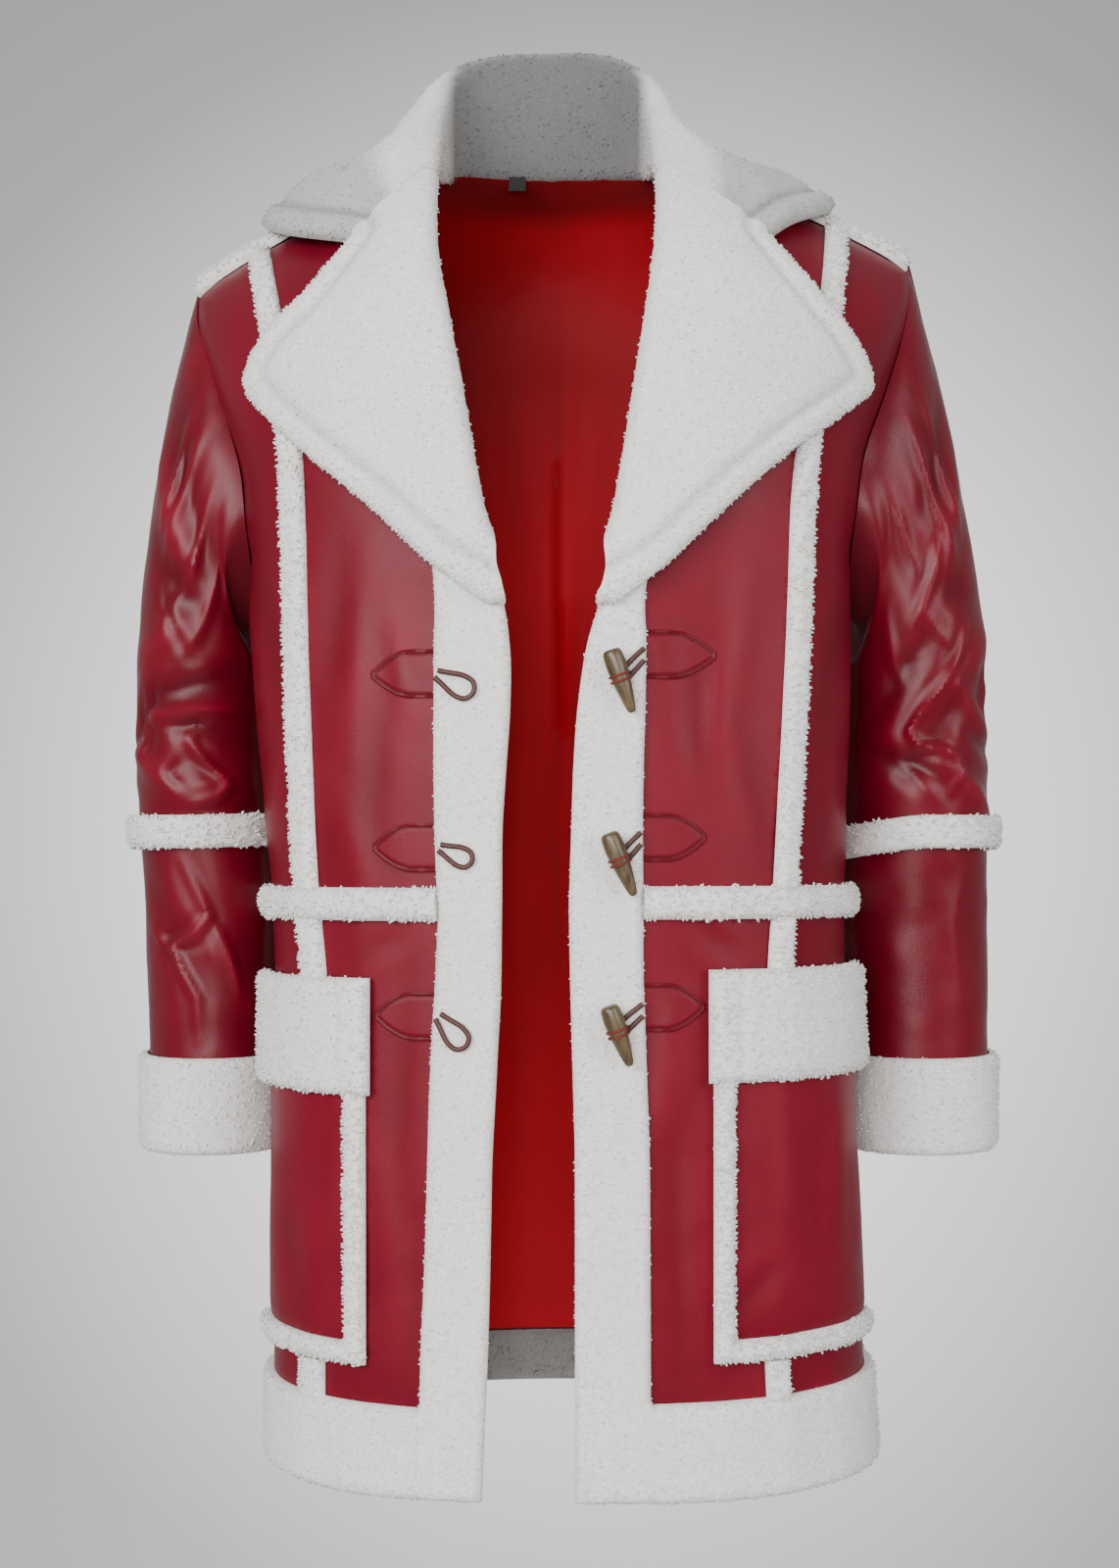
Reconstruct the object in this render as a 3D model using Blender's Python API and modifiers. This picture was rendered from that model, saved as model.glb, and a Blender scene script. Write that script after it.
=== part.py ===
"""Leather coat with shearling trim, filled out as worn. Metres, +Z up, the front faces -Y, and the
origin is the middle of the neck base, where the shoulders hold the coat up.

Every piece of the body is a patch of one of three surfaces, the two fronts and the back. Columns of a
front run from its edge to the side seam, rows run from the hem up to the shoulder line. Leather lies
inside the surface and trim lies outside it.
"""

import math

import bmesh
import bpy
import numpy as np
from mathutils import Vector

# Thicknesses and clearances
LEATHER = 0.002
LINING = 0.001
LINING_DEPTH = 0.0036
LINING_INSET = (0.003, 0.012)
FACING_THICK = 0.004
FACING_APART = 0.005
FLEECE = 0.006
FLEECE_EDGE = 0.008
SEAM_GAP = 0.0003
PANEL_INSET = 0.0005
SHOULDER_INSET = 0.0035

# Body section: widest at SIDE_Y, the front and the back are half superellipses
SIDE_Y = -0.02
FRONT_DEPTH = 0.143
BACK_DEPTH = 0.153
FRONT_POWER = 2.5
BACK_POWER = 2.3
SHOULDER_Y = 0.01
SHOULDER_ROUND = {"front": 0.20, "back": 0.12}

# Heights, as pairs for the wearer's right (-X) and left (+X)
HEM = (-0.877, -0.877)
HEM_TOP = (-0.820, -0.816)
POCKET_FOOT = (-0.797, -0.793)
BAG_FOOT = (-0.781, -0.777)
FLAP_FOOT = (-0.622, -0.613)
FLAP_TOP = (-0.555, -0.543)
WAIST_FOOT = (-0.511, -0.510)
WAIST = (-0.501, -0.500)
WAIST_TOP = (-0.491, -0.490)
UNDERARM = (-0.300, -0.296)
SHOULDER_TIP = (-0.064, -0.046)
NECK_SIDE = (0.083, 0.020)
NECK_PEAK = 0.045
NECK_BACK = 0.030
NECK_SLOPE = 0.13
SHOULDER_HALF = 0.25
FIND_STEPS = 30
FACING_TOP = -0.841

# Body half width and middle by height: z, half width, middle x
BODY_ROWS = (
    (-0.877, 0.2060, 0.0085),
    (-0.770, 0.2030, 0.0055),
    (-0.680, 0.2005, 0.0040),
    (-0.540, 0.1970, 0.0005),
    (-0.480, 0.1985, -0.0010),
    (-0.400, 0.2040, -0.0040),
    (-0.310, 0.2080, -0.0060),
    (-0.250, 0.2100, -0.0063),
    (-0.200, 0.2170, -0.0060),
    (-0.154, 0.2330, -0.0055),
    (-0.102, 0.2490, -0.0050),
    (-0.050, 0.2540, -0.0050),
    (0.030, 0.2560, -0.0095),
)

# Distances from x = 0 by height: z, x. The front edge turns into the lapel's roll above the break
FRONT_EDGE = {
    -1: ((-0.877, 0.0500), (-0.768, 0.0456), (-0.6615, 0.0434), (-0.549, 0.0377), (-0.450, 0.0370),
         (-0.366, 0.0317), (-0.312, 0.0335), (-0.285, 0.0460), (-0.260, 0.0560), (-0.226, 0.0620),
         (-0.1675, 0.0722), (-0.120, 0.0807), (-0.068, 0.0892), (-0.010, 0.0916), (0.020, 0.0925)),
    1: ((-0.877, 0.0111), (-0.6615, 0.0111), (-0.549, 0.0080), (-0.502, 0.0072), (-0.4145, 0.0099),
        (-0.357, 0.0142), (-0.323, 0.0214), (-0.310, 0.0240), (-0.285, 0.0360), (-0.260, 0.0435),
        (-0.226, 0.0485), (-0.1675, 0.0570), (-0.120, 0.0645), (-0.068, 0.0715), (-0.010, 0.0740),
        (0.020, 0.0735)),
}
PLACKET_SEAM = {
    -1: ((-0.877, 0.0900), (-0.783, 0.0875), (-0.722, 0.0844), (-0.612, 0.0816), (-0.512, 0.0764),
         (-0.437, 0.0790), (-0.300, 0.0790)),
    1: ((-0.877, 0.0580), (-0.6615, 0.0567), (-0.549, 0.0530), (-0.432, 0.0522), (-0.380, 0.0539),
        (-0.300, 0.0548)),
}
STRIP_MIDDLE = {
    -1: ((-0.877, 0.160), (-0.552, 0.158), (-0.479, 0.165), (-0.354, 0.1693), (-0.239, 0.172),
         (-0.200, 0.174), (-0.117, 0.1895), (-0.041, 0.209)),
    1: ((-0.877, 0.142), (-0.788, 0.1387), (-0.540, 0.1412), (-0.480, 0.1454), (-0.325, 0.1534),
        (-0.211, 0.158), (-0.097, 0.1795), (-0.037, 0.190)),
}
STRIP_HALF = 0.009
STRIP_TOP_INSET = 0.003
POCKET_EDGE = {-1: 0.1215, 1: 0.0955}
TRIM_WIDTH = 0.015
PLACKET_REACH = 0.45
RIM_LIFT = 0.0013
RIM_END = 0.03
BAG_INSET = 0.0009
FLAP_LIFT = 0.0032
FLAP_THICK = 0.007
TRIM_INSET = 0.0008
STRIP_THICK = 0.005
BEVEL = 0.002
NARROW_BEVEL = 0.0015

# Armhole by share of the way up from the underarm: share, angle on the front, angle on the back
ARMHOLE_ROWS = (
    (0.00, 98.0, 82.0),
    (0.06, 87.0, 74.0),
    (0.16, 81.0, 68.0),
    (0.32, 77.5, 65.0),
    (0.52, 76.5, 66.0),
    (0.74, 78.5, 70.0),
    (0.90, 83.5, 78.0),
    (1.00, 90.0, 90.0),
)

# Columns of a front, by number
EDGE, SEAM, POCKET, BAG, STRIP_IN, STRIP_OUT, SIDE = 0, 1, 2, 3, 4, 5, 8
BACK_COLUMNS = 12
YOKE_ROWS = 7
YOKE_POWER = 1.5

# Lapel: where the roll and the outer edge lie, row by row from the break to the gorge
LAPEL_ROWS = {
    -1: ((0.0345, -0.3140, 0.0430, -0.3100), (0.0365, -0.2990, 0.0792, -0.2880),
         (0.0420, -0.2800, 0.1180, -0.2510), (0.0460, -0.2600, 0.1616, -0.2127),
         (0.0500, -0.2380, 0.1930, -0.1800), (0.0540, -0.2150, 0.2040, -0.1580),
         (0.0600, -0.1800, 0.1900, -0.1300), (0.0680, -0.1350, 0.1650, -0.1080),
         (0.0765, -0.0830, 0.1470, -0.0870), (0.0816, -0.0150, 0.1343, -0.0710)),
    1: ((0.0235, -0.3140, 0.0320, -0.3100), (0.0275, -0.2990, 0.0640, -0.2900),
        (0.0300, -0.2800, 0.1020, -0.2530), (0.0330, -0.2600, 0.1440, -0.2140),
        (0.0360, -0.2380, 0.1800, -0.1850), (0.0400, -0.2150, 0.2035, -0.1600),
        (0.0455, -0.1800, 0.1910, -0.1320), (0.0520, -0.1350, 0.1700, -0.1080),
        (0.0590, -0.0830, 0.1500, -0.0850), (0.0640, -0.0150, 0.1355, -0.0680)),
}
LAPEL_LIFT = 0.0085
LAPEL_SWELL = 0.004
LAPEL_SHARES = (0.0, 0.15, 0.35, 0.57, 0.78, 0.91, 1.0)
# The turn round the roll: distance from the roll and lift, and the same where the lapel lies flat
LAPEL_TURN = (
    (0.0090, -0.0015, 0.0008, 0.0080),
    (0.0080, 0.0025, 0.0025, 0.0083),
    (0.0084, 0.0062, 0.0045, 0.0085),
)
# It starts to lie flat below the first height and is flat after the next distance down
LAPEL_FLAT_ABOVE = -0.245
LAPEL_FLAT_OVER = 0.045
LAPEL_NARROW = 0.035
LAPEL_START = 0.003
# The lapel swells between its edges where it is wide: share of the width it covers, full width
SWELL_REACH = 1.2
SWELL_WIDTH = 0.08

# Collar stations of each side, measured from the neck's middle as sideways, back and up: the neck seam,
# the roll, the foot of the roll, the crest of the fall and the outer edge. The two at the back are shared
COLLAR_MIDDLE = -0.0095
COLLAR_ROWS = {
    -1: (
        ((0.079, -0.022, 0.012), (0.081, -0.036, 0.034), (0.108, -0.066, 0.008), (0.142, -0.084, -0.020),
         (0.166, -0.090, -0.054)),
        ((0.079, 0.008, 0.024), (0.081, -0.008, 0.058), (0.112, -0.022, 0.022), (0.160, -0.038, -0.002),
         (0.190, -0.049, -0.037)),
        ((0.072, 0.034, 0.027), (0.076, 0.018, 0.084), (0.112, 0.018, 0.038), (0.164, 0.018, 0.012),
         (0.191, 0.010, -0.018)),
        ((0.054, 0.056, 0.032), (0.060, 0.044, 0.106), (0.094, 0.066, 0.058), (0.130, 0.088, 0.030),
         (0.158, 0.102, -0.006)),
    ),
    1: (
        ((0.079, -0.022, 0.012), (0.081, -0.036, 0.034), (0.106, -0.066, 0.004), (0.140, -0.084, -0.022),
         (0.166, -0.090, -0.052)),
        ((0.079, 0.008, 0.024), (0.081, -0.008, 0.053), (0.108, -0.022, 0.015), (0.160, -0.038, -0.006),
         (0.195, -0.049, -0.032)),
        ((0.072, 0.034, 0.027), (0.076, 0.018, 0.079), (0.108, 0.018, 0.029), (0.162, 0.018, 0.008),
         (0.195, 0.010, -0.015)),
        ((0.054, 0.056, 0.032), (0.060, 0.044, 0.103), (0.091, 0.066, 0.052), (0.128, 0.088, 0.026),
         (0.158, 0.102, -0.006)),
    ),
}
COLLAR_BACK_ROWS = (
    ((0.030, 0.066, 0.034), (0.033, 0.057, 0.116), (0.050, 0.090, 0.080), (0.070, 0.118, 0.048),
     (0.086, 0.138, 0.000)),
    ((0.000, 0.070, 0.034), (0.000, 0.062, 0.119), (0.000, 0.096, 0.086), (0.000, 0.124, 0.050),
     (0.000, 0.144, 0.000)),
)
COLLAR_TILT = 0.02
COLLAR_BETWEEN = 2
COLLAR_STEPS = (3, 2, 2, 2)
COLLAR_GAP = 0.002

# Shoulder strips: how far below the shoulder line each line of points lies, on which half, then the
# distances from the middle where the strip starts and ends with its number of points
SHOULDER_MIDDLE = -0.005
SHOULDER_DROPS = (("front", 0.011), ("front", 0.003), ("back", 0.0), ("back", 0.003), ("back", 0.011))
SHOULDER_REACH = (0.150, 0.247, 6)
SHOULDER_LIFT = 0.0038

# Sleeve stations: z, middle x and half width on the right, both on the left, middle y, half depth
SLEEVE_ROWS = (
    (-0.335, 0.2580, 0.0465, 0.2560, 0.0505, 0.032, 0.074),
    (-0.400, 0.2595, 0.0475, 0.2572, 0.0528, 0.037, 0.071),
    (-0.453, 0.2565, 0.0485, 0.2582, 0.0533, 0.041, 0.069),
    (-0.520, 0.2532, 0.0488, 0.2592, 0.0533, 0.046, 0.067),
    (-0.600, 0.2522, 0.0483, 0.2608, 0.0527, 0.049, 0.065),
    (-0.682, 0.2520, 0.0480, 0.2608, 0.0527, 0.050, 0.064),
)
SLEEVE_POWER = 2.2
ELBOW = -0.453
ELBOW_HALF = 0.0115
CUFF_TOP = -0.613
CUFF_FOOT = -0.682
CAP_RINGS = 6
ARMHOLE_GAP = 0.0018
# Directions in which the cap leaves the armhole and reaches the biceps, as sideways, back and up: the
# same all round, with the cosine of the angle, with its part above zero, and with the sine
CAP_LEAVE = ((0.075, 0.0, -0.055), (-0.030, 0.0, 0.0), (0.0, 0.0, -0.085), (0.0, -0.02, 0.0))
CAP_ARRIVE = ((0.0, 0.02, -0.10), (0.0, 0.0, -0.10), (0.0, 0.0, 0.0), (0.0, 0.0, 0.0))
BAND_OUT = 0.0022
BAND_THICK = 0.006
CUFF_OUT = 0.0014
CUFF_THICK = 0.0055
CUFF_OVER = 0.002
UPPER_RINGS = 9
LOWER_RINGS = 8

# Largest sleeve folds: side, angle round the sleeve (0 outside, 90 front), height, rise for each
# degree, reach round in degrees, half thickness, depth (below zero a trough)
SLEEVE_FOLDS = (
    (-1, 70, -0.200, -0.0009, 60, 0.014, -0.0050),
    (-1, 60, -0.245, -0.0011, 60, 0.014, 0.0045),
    (-1, 55, -0.335, 0.0006, 65, 0.013, -0.0065),
    (-1, 45, -0.362, 0.0005, 80, 0.013, 0.0070),
    (-1, 60, -0.390, -0.0004, 70, 0.013, -0.0075),
    (-1, 50, -0.420, 0.0003, 70, 0.012, 0.0060),
    (-1, 55, -0.505, -0.0006, 55, 0.014, 0.0045),
    (-1, 60, -0.537, -0.0008, 55, 0.014, -0.0050),
    (-1, -60, -0.370, 0.0004, 65, 0.014, -0.0055),
    (-1, -50, -0.405, -0.0004, 65, 0.014, 0.0050),
    (1, 60, -0.190, -0.0012, 60, 0.014, -0.0045),
    (1, 50, -0.250, -0.0012, 55, 0.014, 0.0045),
    (1, 55, -0.320, 0.0007, 65, 0.013, -0.0055),
    (1, 40, -0.350, 0.0006, 70, 0.013, 0.0075),
    (1, 60, -0.382, -0.0003, 70, 0.013, -0.0070),
    (1, 45, -0.415, 0.0004, 70, 0.012, 0.0065),
    (1, -60, -0.365, 0.0004, 65, 0.014, -0.0055),
    (1, -50, -0.400, -0.0004, 65, 0.014, 0.0050),
)

# Toggle patches: height of the middle on the right and on the left
PATCH_HEIGHTS = ((-0.355, -0.343), (-0.465, -0.4585), (-0.572, -0.566))
PATCH_LENGTH = {-1: (0.041, 0.041, 0.038), 1: (0.045, 0.0405, 0.0385)}
PATCH_HALF = 0.0155
PATCH_THICK = 0.0015
PATCH_LIFT = 0.0006
PATCH_ACROSS = (-1.0, -0.34, 0.34, 1.0)
PATCH_STEPS = 6
# The patch is straight for this share of its length, then narrows by PATCH_TIP along a curve
PATCH_STRAIGHT = 0.42
PATCH_CURVE = 1.7
PATCH_TIP = 0.86

# Thong loops on the right front: exit and tip as x, z
LOOPS = (
    ((-0.0775, -0.3560), (-0.0540, -0.3680)),
    ((-0.0755, -0.4650), (-0.0550, -0.4740)),
    ((-0.0765, -0.5710), (-0.0590, -0.5900)),
)
# Outline of a loop as shares of its length: along it, and to the side
LOOP_SHAPE = ((0.0, 0.09), (0.25, 0.16), (0.6, 0.26), (0.88, 0.22), (1.0, 0.0),
              (0.88, -0.22), (0.6, -0.26), (0.25, -0.16), (0.0, -0.09))
THONG = 0.0028
THONG_LIFT = 0.0088

# Horn toggles on the left front: fat end and thin end as x, z
TOGGLES = (
    ((0.0320, -0.3420), (0.0455, -0.3810)),
    ((0.0305, -0.4560), (0.0465, -0.4950)),
    ((0.0305, -0.5635), (0.0440, -0.6010)),
)
TOGGLE_RADIUS = (0.0062, 0.0066, 0.0058, 0.0042, 0.0024)
TOGGLE_LIFT = 0.0178
TOGGLE_TIP = 0.002
TOGGLE_SIDES = 12
MERGE = 0.00005
# The thong leaves the seam at a distance inside it, goes behind the toggle a share of its length above
# its middle, and turns there along the points given as sideways and up
TOGGLE_EXIT = 0.0012
TOGGLE_HOLD = 0.06
TOGGLE_BEHIND = 0.0088
TOGGLE_TURN = ((0.001, 0.0045), (-0.0035, 0.0), (0.001, -0.0045))
THONG_SPREAD = (0.003, 0.004, 0.0045, 0.005)

NECK_TAB = (-0.0375, -0.0235, 0.0132, 0.0205)
TAB_BACK = 0.0555

SIDE_NAMES = {-1: "right", 1: "left"}
COLOURS = {
    "red_leather": ((0.30, 0.012, 0.025), 0.38),
    "white_shearling": ((0.80, 0.79, 0.76), 0.95),
    "red_lining": ((0.26, 0.006, 0.010), 0.55),
    "brown_thong": ((0.06, 0.018, 0.012), 0.60),
    "horn": ((0.16, 0.11, 0.045), 0.40),
    "black_tab": ((0.010, 0.010, 0.010), 0.80),
}


# ---- Surface ----

def column(table, z):
    """The table's value at height z, between its rows."""
    heights, values = np.array(table).T
    return float(np.interp(z, heights, values))


def pick(pair, side):
    return pair[0] if side < 0 else pair[1]


def body_width(z):
    heights, halves, middles = np.array(BODY_ROWS).T
    return float(np.interp(z, heights, halves)), float(np.interp(z, heights, middles))


def shoulder_line(x):
    """Height of the shoulder line above x: a peak behind the neck, then down to the shoulder tip."""
    out = abs(x - SHOULDER_MIDDLE)
    tip = pick(SHOULDER_TIP, -1 if x < SHOULDER_MIDDLE else 1)
    return float(np.interp(out, (0, NECK_SIDE[0], SHOULDER_HALF), (NECK_PEAK, NECK_SIDE[1], tip)))


def shoulder_share(x, z, half):
    """1 on the body, falling to 0 at the shoulder line as a quarter circle."""
    drop = max(0.0, shoulder_line(x) - z) / SHOULDER_ROUND[half]
    return math.sqrt(max(0.0, 1 - max(0.0, 1 - drop) ** 2))


def depth_at(x, z, half):
    """Y of the front or the back surface at x, z."""
    width, middle = body_width(z)
    power = FRONT_POWER if half == "front" else BACK_POWER
    reach = -FRONT_DEPTH if half == "front" else BACK_DEPTH
    share = min(1.0, abs(x - middle) / width)
    flat = SIDE_Y + reach * (1 - share ** power) ** (1 / power)
    return SHOULDER_Y + (flat - SHOULDER_Y) * shoulder_share(x, z, half)


def at_angle(side, degrees, z, half):
    """Point of the section at height z, the angle counted from the middle of the front or the back.
    Past 90 degrees a front runs on into the back."""
    width, middle = body_width(z)
    if degrees > 90:
        half = "back" if half == "front" else "front"
        degrees = 180 - degrees
    power = FRONT_POWER if half == "front" else BACK_POWER
    x = middle + side * width * math.sin(math.radians(degrees)) ** (2 / power)
    return Vector((x, depth_at(x, z, half), z))


def angle_of(side, x, z, half):
    width, middle = body_width(z)
    power = FRONT_POWER if half == "front" else BACK_POWER
    share = min(1.0, max(0.0, side * (x - middle)) / width)
    return math.degrees(math.asin(share ** (power / 2)))


def armhole_angle(side, z, half):
    """Angle where the panel ends: the side seam below the underarm, the armhole above it."""
    low, high = pick(UNDERARM, side), pick(SHOULDER_TIP, side)
    share = min(1.0, max(0.0, (z - low) / (high - low)))
    shares, front, back = np.array(ARMHOLE_ROWS).T
    return float(np.interp(share, shares, front if half == "front" else back))


def front_x(side, number, z):
    """X of a front's column at height z, for the columns up to the strip's outer edge."""
    edge = column(FRONT_EDGE[side], z)
    strip = column(STRIP_MIDDLE[side], z)
    inner = strip - STRIP_HALF
    pocket = POCKET_EDGE[side]
    low = (edge, column(PLACKET_SEAM[side], z), pocket, pocket + TRIM_WIDTH, inner, strip + STRIP_HALF)
    above = min(1.0, max(0.0, (z + 0.30) / 0.06))
    even = edge + (inner - edge) * number / STRIP_IN
    share = above if number < STRIP_IN else 0.0
    return side * (low[number] * (1 - share) + even * share)


def front_point(side, number, z):
    if number <= STRIP_OUT:
        x = front_x(side, number, z)
        return Vector((x, depth_at(x, z, "front"), z))
    start = angle_of(side, front_x(side, STRIP_OUT, z), z, "front")
    end = armhole_angle(side, z, "front")
    return at_angle(side, start + (end - start) * (number - STRIP_OUT) / (SIDE - STRIP_OUT), z, "front")


def back_point(number, z_right, z_left):
    """Back columns run from the right side seam to the left one, evenly by angle."""
    share = 2 * number / BACK_COLUMNS - 1
    z = z_right + (z_left - z_right) * (share + 1) / 2
    side = -1 if share < 0 else 1
    return at_angle(side, abs(share) * armhole_angle(side, z, "back"), z, "back")


def low_levels():
    """Rows from the hem to the underarm, as pairs of heights."""
    named = (HEM, HEM_TOP, POCKET_FOOT, BAG_FOOT, FLAP_FOOT, FLAP_TOP, WAIST_FOOT, WAIST, WAIST_TOP,
             UNDERARM)
    between = {HEM: 1, BAG_FOOT: 3, FLAP_FOOT: 1, FLAP_TOP: 0, WAIST_TOP: 4}
    rows = []
    for low, high in zip(named, named[1:]):
        steps = between.get(low, 0) + 1
        for step in range(steps):
            share = step / steps
            rows.append(tuple(a + (b - a) * share for a, b in zip(low, high)))
    return rows + [UNDERARM]


LEVELS = low_levels()


def level(pair):
    """Number of the row at the named heights."""
    return min(range(len(LEVELS)), key=lambda i: abs(LEVELS[i][0] - pair[0]))


def yoke_shares():
    """Shares of the way from the underarm to the shoulder, closer together near the shoulder."""
    return [1 - (1 - i / YOKE_ROWS) ** YOKE_POWER for i in range(1, YOKE_ROWS + 1)]


def front_grid(side):
    """Rows of points of a whole front, hem to shoulder."""
    rows = [[front_point(side, n, pick(pair, side)) for n in range(SIDE + 1)] for pair in LEVELS]
    low = pick(UNDERARM, side)
    tops = []
    for n in range(SIDE + 1):
        z = low
        for _ in range(FIND_STEPS):
            z = shoulder_line(front_point(side, n, z).x)
        tops.append(z)
    for share in yoke_shares():
        rows.append([front_point(side, n, low + (tops[n] - low) * share) for n in range(SIDE + 1)])
    return rows


def back_grid():
    rows = [[back_point(n, *pair) for n in range(BACK_COLUMNS + 1)] for pair in LEVELS]
    for share in yoke_shares():
        row = []
        for n in range(BACK_COLUMNS + 1):
            across = n / BACK_COLUMNS
            low = UNDERARM[0] + (UNDERARM[1] - UNDERARM[0]) * across
            z = low
            for _ in range(FIND_STEPS):
                x = back_point(n, z, z).x
                z = min(NECK_BACK - NECK_SLOPE * abs(x - SHOULDER_MIDDLE), shoulder_line(x))
            height = low + (z - low) * share
            row.append(back_point(n, height, height))
        rows.append(row)
    return rows


def normals(rows):
    """Outward direction at each point of a grid whose columns run either way round the body."""
    points = np.array([[tuple(p) for p in row] for row in rows])
    across = np.gradient(points, axis=1)
    up = np.gradient(points, axis=0)
    found = np.cross(across, up)
    found /= np.maximum(np.linalg.norm(found, axis=2, keepdims=True), 1e-12)
    middle = np.array((0.0, 0.0, -0.45))
    outward = ((points - middle) * found).sum(axis=2).mean()
    return points, found if outward > 0 else -found


class Surface:
    """A grid of points with its outward directions."""

    def __init__(self, rows):
        self.points, self.out = normals(rows)

    def patch(self, low, high, first, last, lift, inset=SEAM_GAP / 2, top_inset=None):
        """Rows low..high and columns first..last moved out by lift, its border drawn in by inset."""
        points = self.points[low:high + 1, first:last + 1] + self.out[low:high + 1, first:last + 1] * lift
        for axis in (0, 1):
            flat = np.moveaxis(points, axis, 0)
            for end, near in ((0, 1), (-1, -2)):
                step = flat[near] - flat[end]
                by = top_inset if top_inset and axis == 0 and end == -1 else inset
                flat[end] += step * (by / np.linalg.norm(step, axis=1, keepdims=True))
        return points

    def between(self, field, row, col):
        """The field's value at a fractional row and column."""
        r, c = min(int(row), field.shape[0] - 2), min(int(col), field.shape[1] - 2)
        u, v = col - c, row - r
        low = field[r, c] * (1 - u) + field[r, c + 1] * u
        high = field[r + 1, c] * (1 - u) + field[r + 1, c + 1] * u
        return low * (1 - v) + high * v

    def place(self, x, z, lift):
        """Point of the surface at x, z, moved out by lift."""
        row = float(np.interp(z, self.points[:, 0, 2], np.arange(self.points.shape[0])))
        low = min(int(row), self.points.shape[0] - 2)
        line = self.points[low] * (1 - row + low) + self.points[low + 1] * (row - low)
        order = np.argsort(line[:, 0])
        col = float(np.interp(x, line[order, 0], np.arange(line.shape[0])[order]))
        out = self.between(self.out, row, col)
        return self.between(self.points, row, col) + out / np.linalg.norm(out) * lift


# ---- Objects ----

def material(slot):
    found = bpy.data.materials.get(slot)
    if found:
        return found
    colour, roughness = COLOURS[slot]
    made = bpy.data.materials.new(slot)
    made.use_nodes = True
    shader = made.node_tree.nodes["Principled BSDF"]
    shader.inputs["Base Color"].default_value = (*colour, 1.0)
    shader.inputs["Roughness"].default_value = roughness
    shader.inputs["Metallic"].default_value = 0.0
    return made


def add_object(name, data, slot, collection):
    made = bpy.data.objects.new(name, data)
    made.data.materials.append(material(slot))
    collection.objects.link(made)
    return made


def sheet(name, points, thick, slot, collection, closed=False, bevel=0.0, inward=False,
          even=True):
    """An open grid of faces given its thickness by Solidify, growing to the side that faces out."""
    points = np.asarray(points, float)
    rows, columns = points.shape[:2]
    shape = bmesh.new()
    verts = [[shape.verts.new(points[r, c]) for c in range(columns)] for r in range(rows)]
    for r in range(rows - 1):
        for c in range(columns if closed else columns - 1):
            d = (c + 1) % columns
            shape.faces.new((verts[r][c], verts[r][d], verts[r + 1][d], verts[r + 1][c]))
    data = bpy.data.meshes.new(name)
    shape.to_mesh(data)
    shape.free()
    made = add_object(name, data, slot, collection)
    solid = made.modifiers.new("wall", "SOLIDIFY")
    solid.thickness = thick
    solid.offset = -1.0 if inward else 1.0
    solid.use_even_offset = even
    solid.use_quality_normals = True
    if bevel:
        edge = made.modifiers.new("soft edge", "BEVEL")
        edge.width = bevel
        edge.segments = 1
        edge.limit_method = "ANGLE"
        edge.angle_limit = math.radians(55)
    data.shade_smooth()
    data.set_sharp_from_angle(angle=math.radians(50))
    return made


def facing_out(points, out):
    """The grid with its columns in the order that makes its faces look along out."""
    across = points[0, 1] - points[0, 0]
    up = points[1, 0] - points[0, 0]
    return points if np.dot(np.cross(across, up), out) > 0 else points[:, ::-1]


def body_sheet(name, surface, rows, columns, lift, thick, slot, collection, inward=False, bevel=0.0,
               inset=PANEL_INSET, top_inset=None):
    points = surface.patch(rows[0], rows[1], columns[0], columns[1], lift, inset, top_inset)
    middle = (rows[0] + rows[1]) // 2, (columns[0] + columns[1]) // 2
    return sheet(name, facing_out(points, surface.out[middle]), thick, slot, collection, inward=inward,
                 bevel=bevel)


def thong(name, route, collection, diameter=THONG):
    """A round cord along a smooth curve through the route."""
    points = [Vector(p) for p in route]
    smooth = catmull([tuple(p) for p in points], 2)
    curve = bpy.data.curves.new(name, "CURVE")
    curve.dimensions = "3D"
    curve.bevel_depth = diameter / 2
    curve.bevel_resolution = 2
    curve.use_fill_caps = True
    spline = curve.splines.new("POLY")
    spline.points.add(len(smooth) - 1)
    for point, place in zip(spline.points, smooth):
        point.co = (*place, 1.0)
    return add_object(name, curve, "brown_thong", collection)


def catmull(rows, between):
    """Rows of numbers with more rows between them, on a smooth curve through each of them. between is
    the steps from each row to the next, one number for all or one for each."""
    rows = np.asarray(rows, float)
    padded = np.concatenate([2 * rows[:1] - rows[1:2], rows, 2 * rows[-1:] - rows[-2:-1]])
    found = []
    counts = between if isinstance(between, tuple) else (between,) * (len(rows) - 1)
    for i, count in enumerate(counts):
        a, b, c, d = padded[i:i + 4]
        for step in range(count):
            t = step / count
            found.append(0.5 * (2 * b + (c - a) * t + (2 * a - 5 * b + 4 * c - d) * t ** 2
                                + (3 * b - a - 3 * c + d) * t ** 3))
    return np.array(found + [rows[-1]])


# ---- Body panels and the trim on them ----

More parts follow.
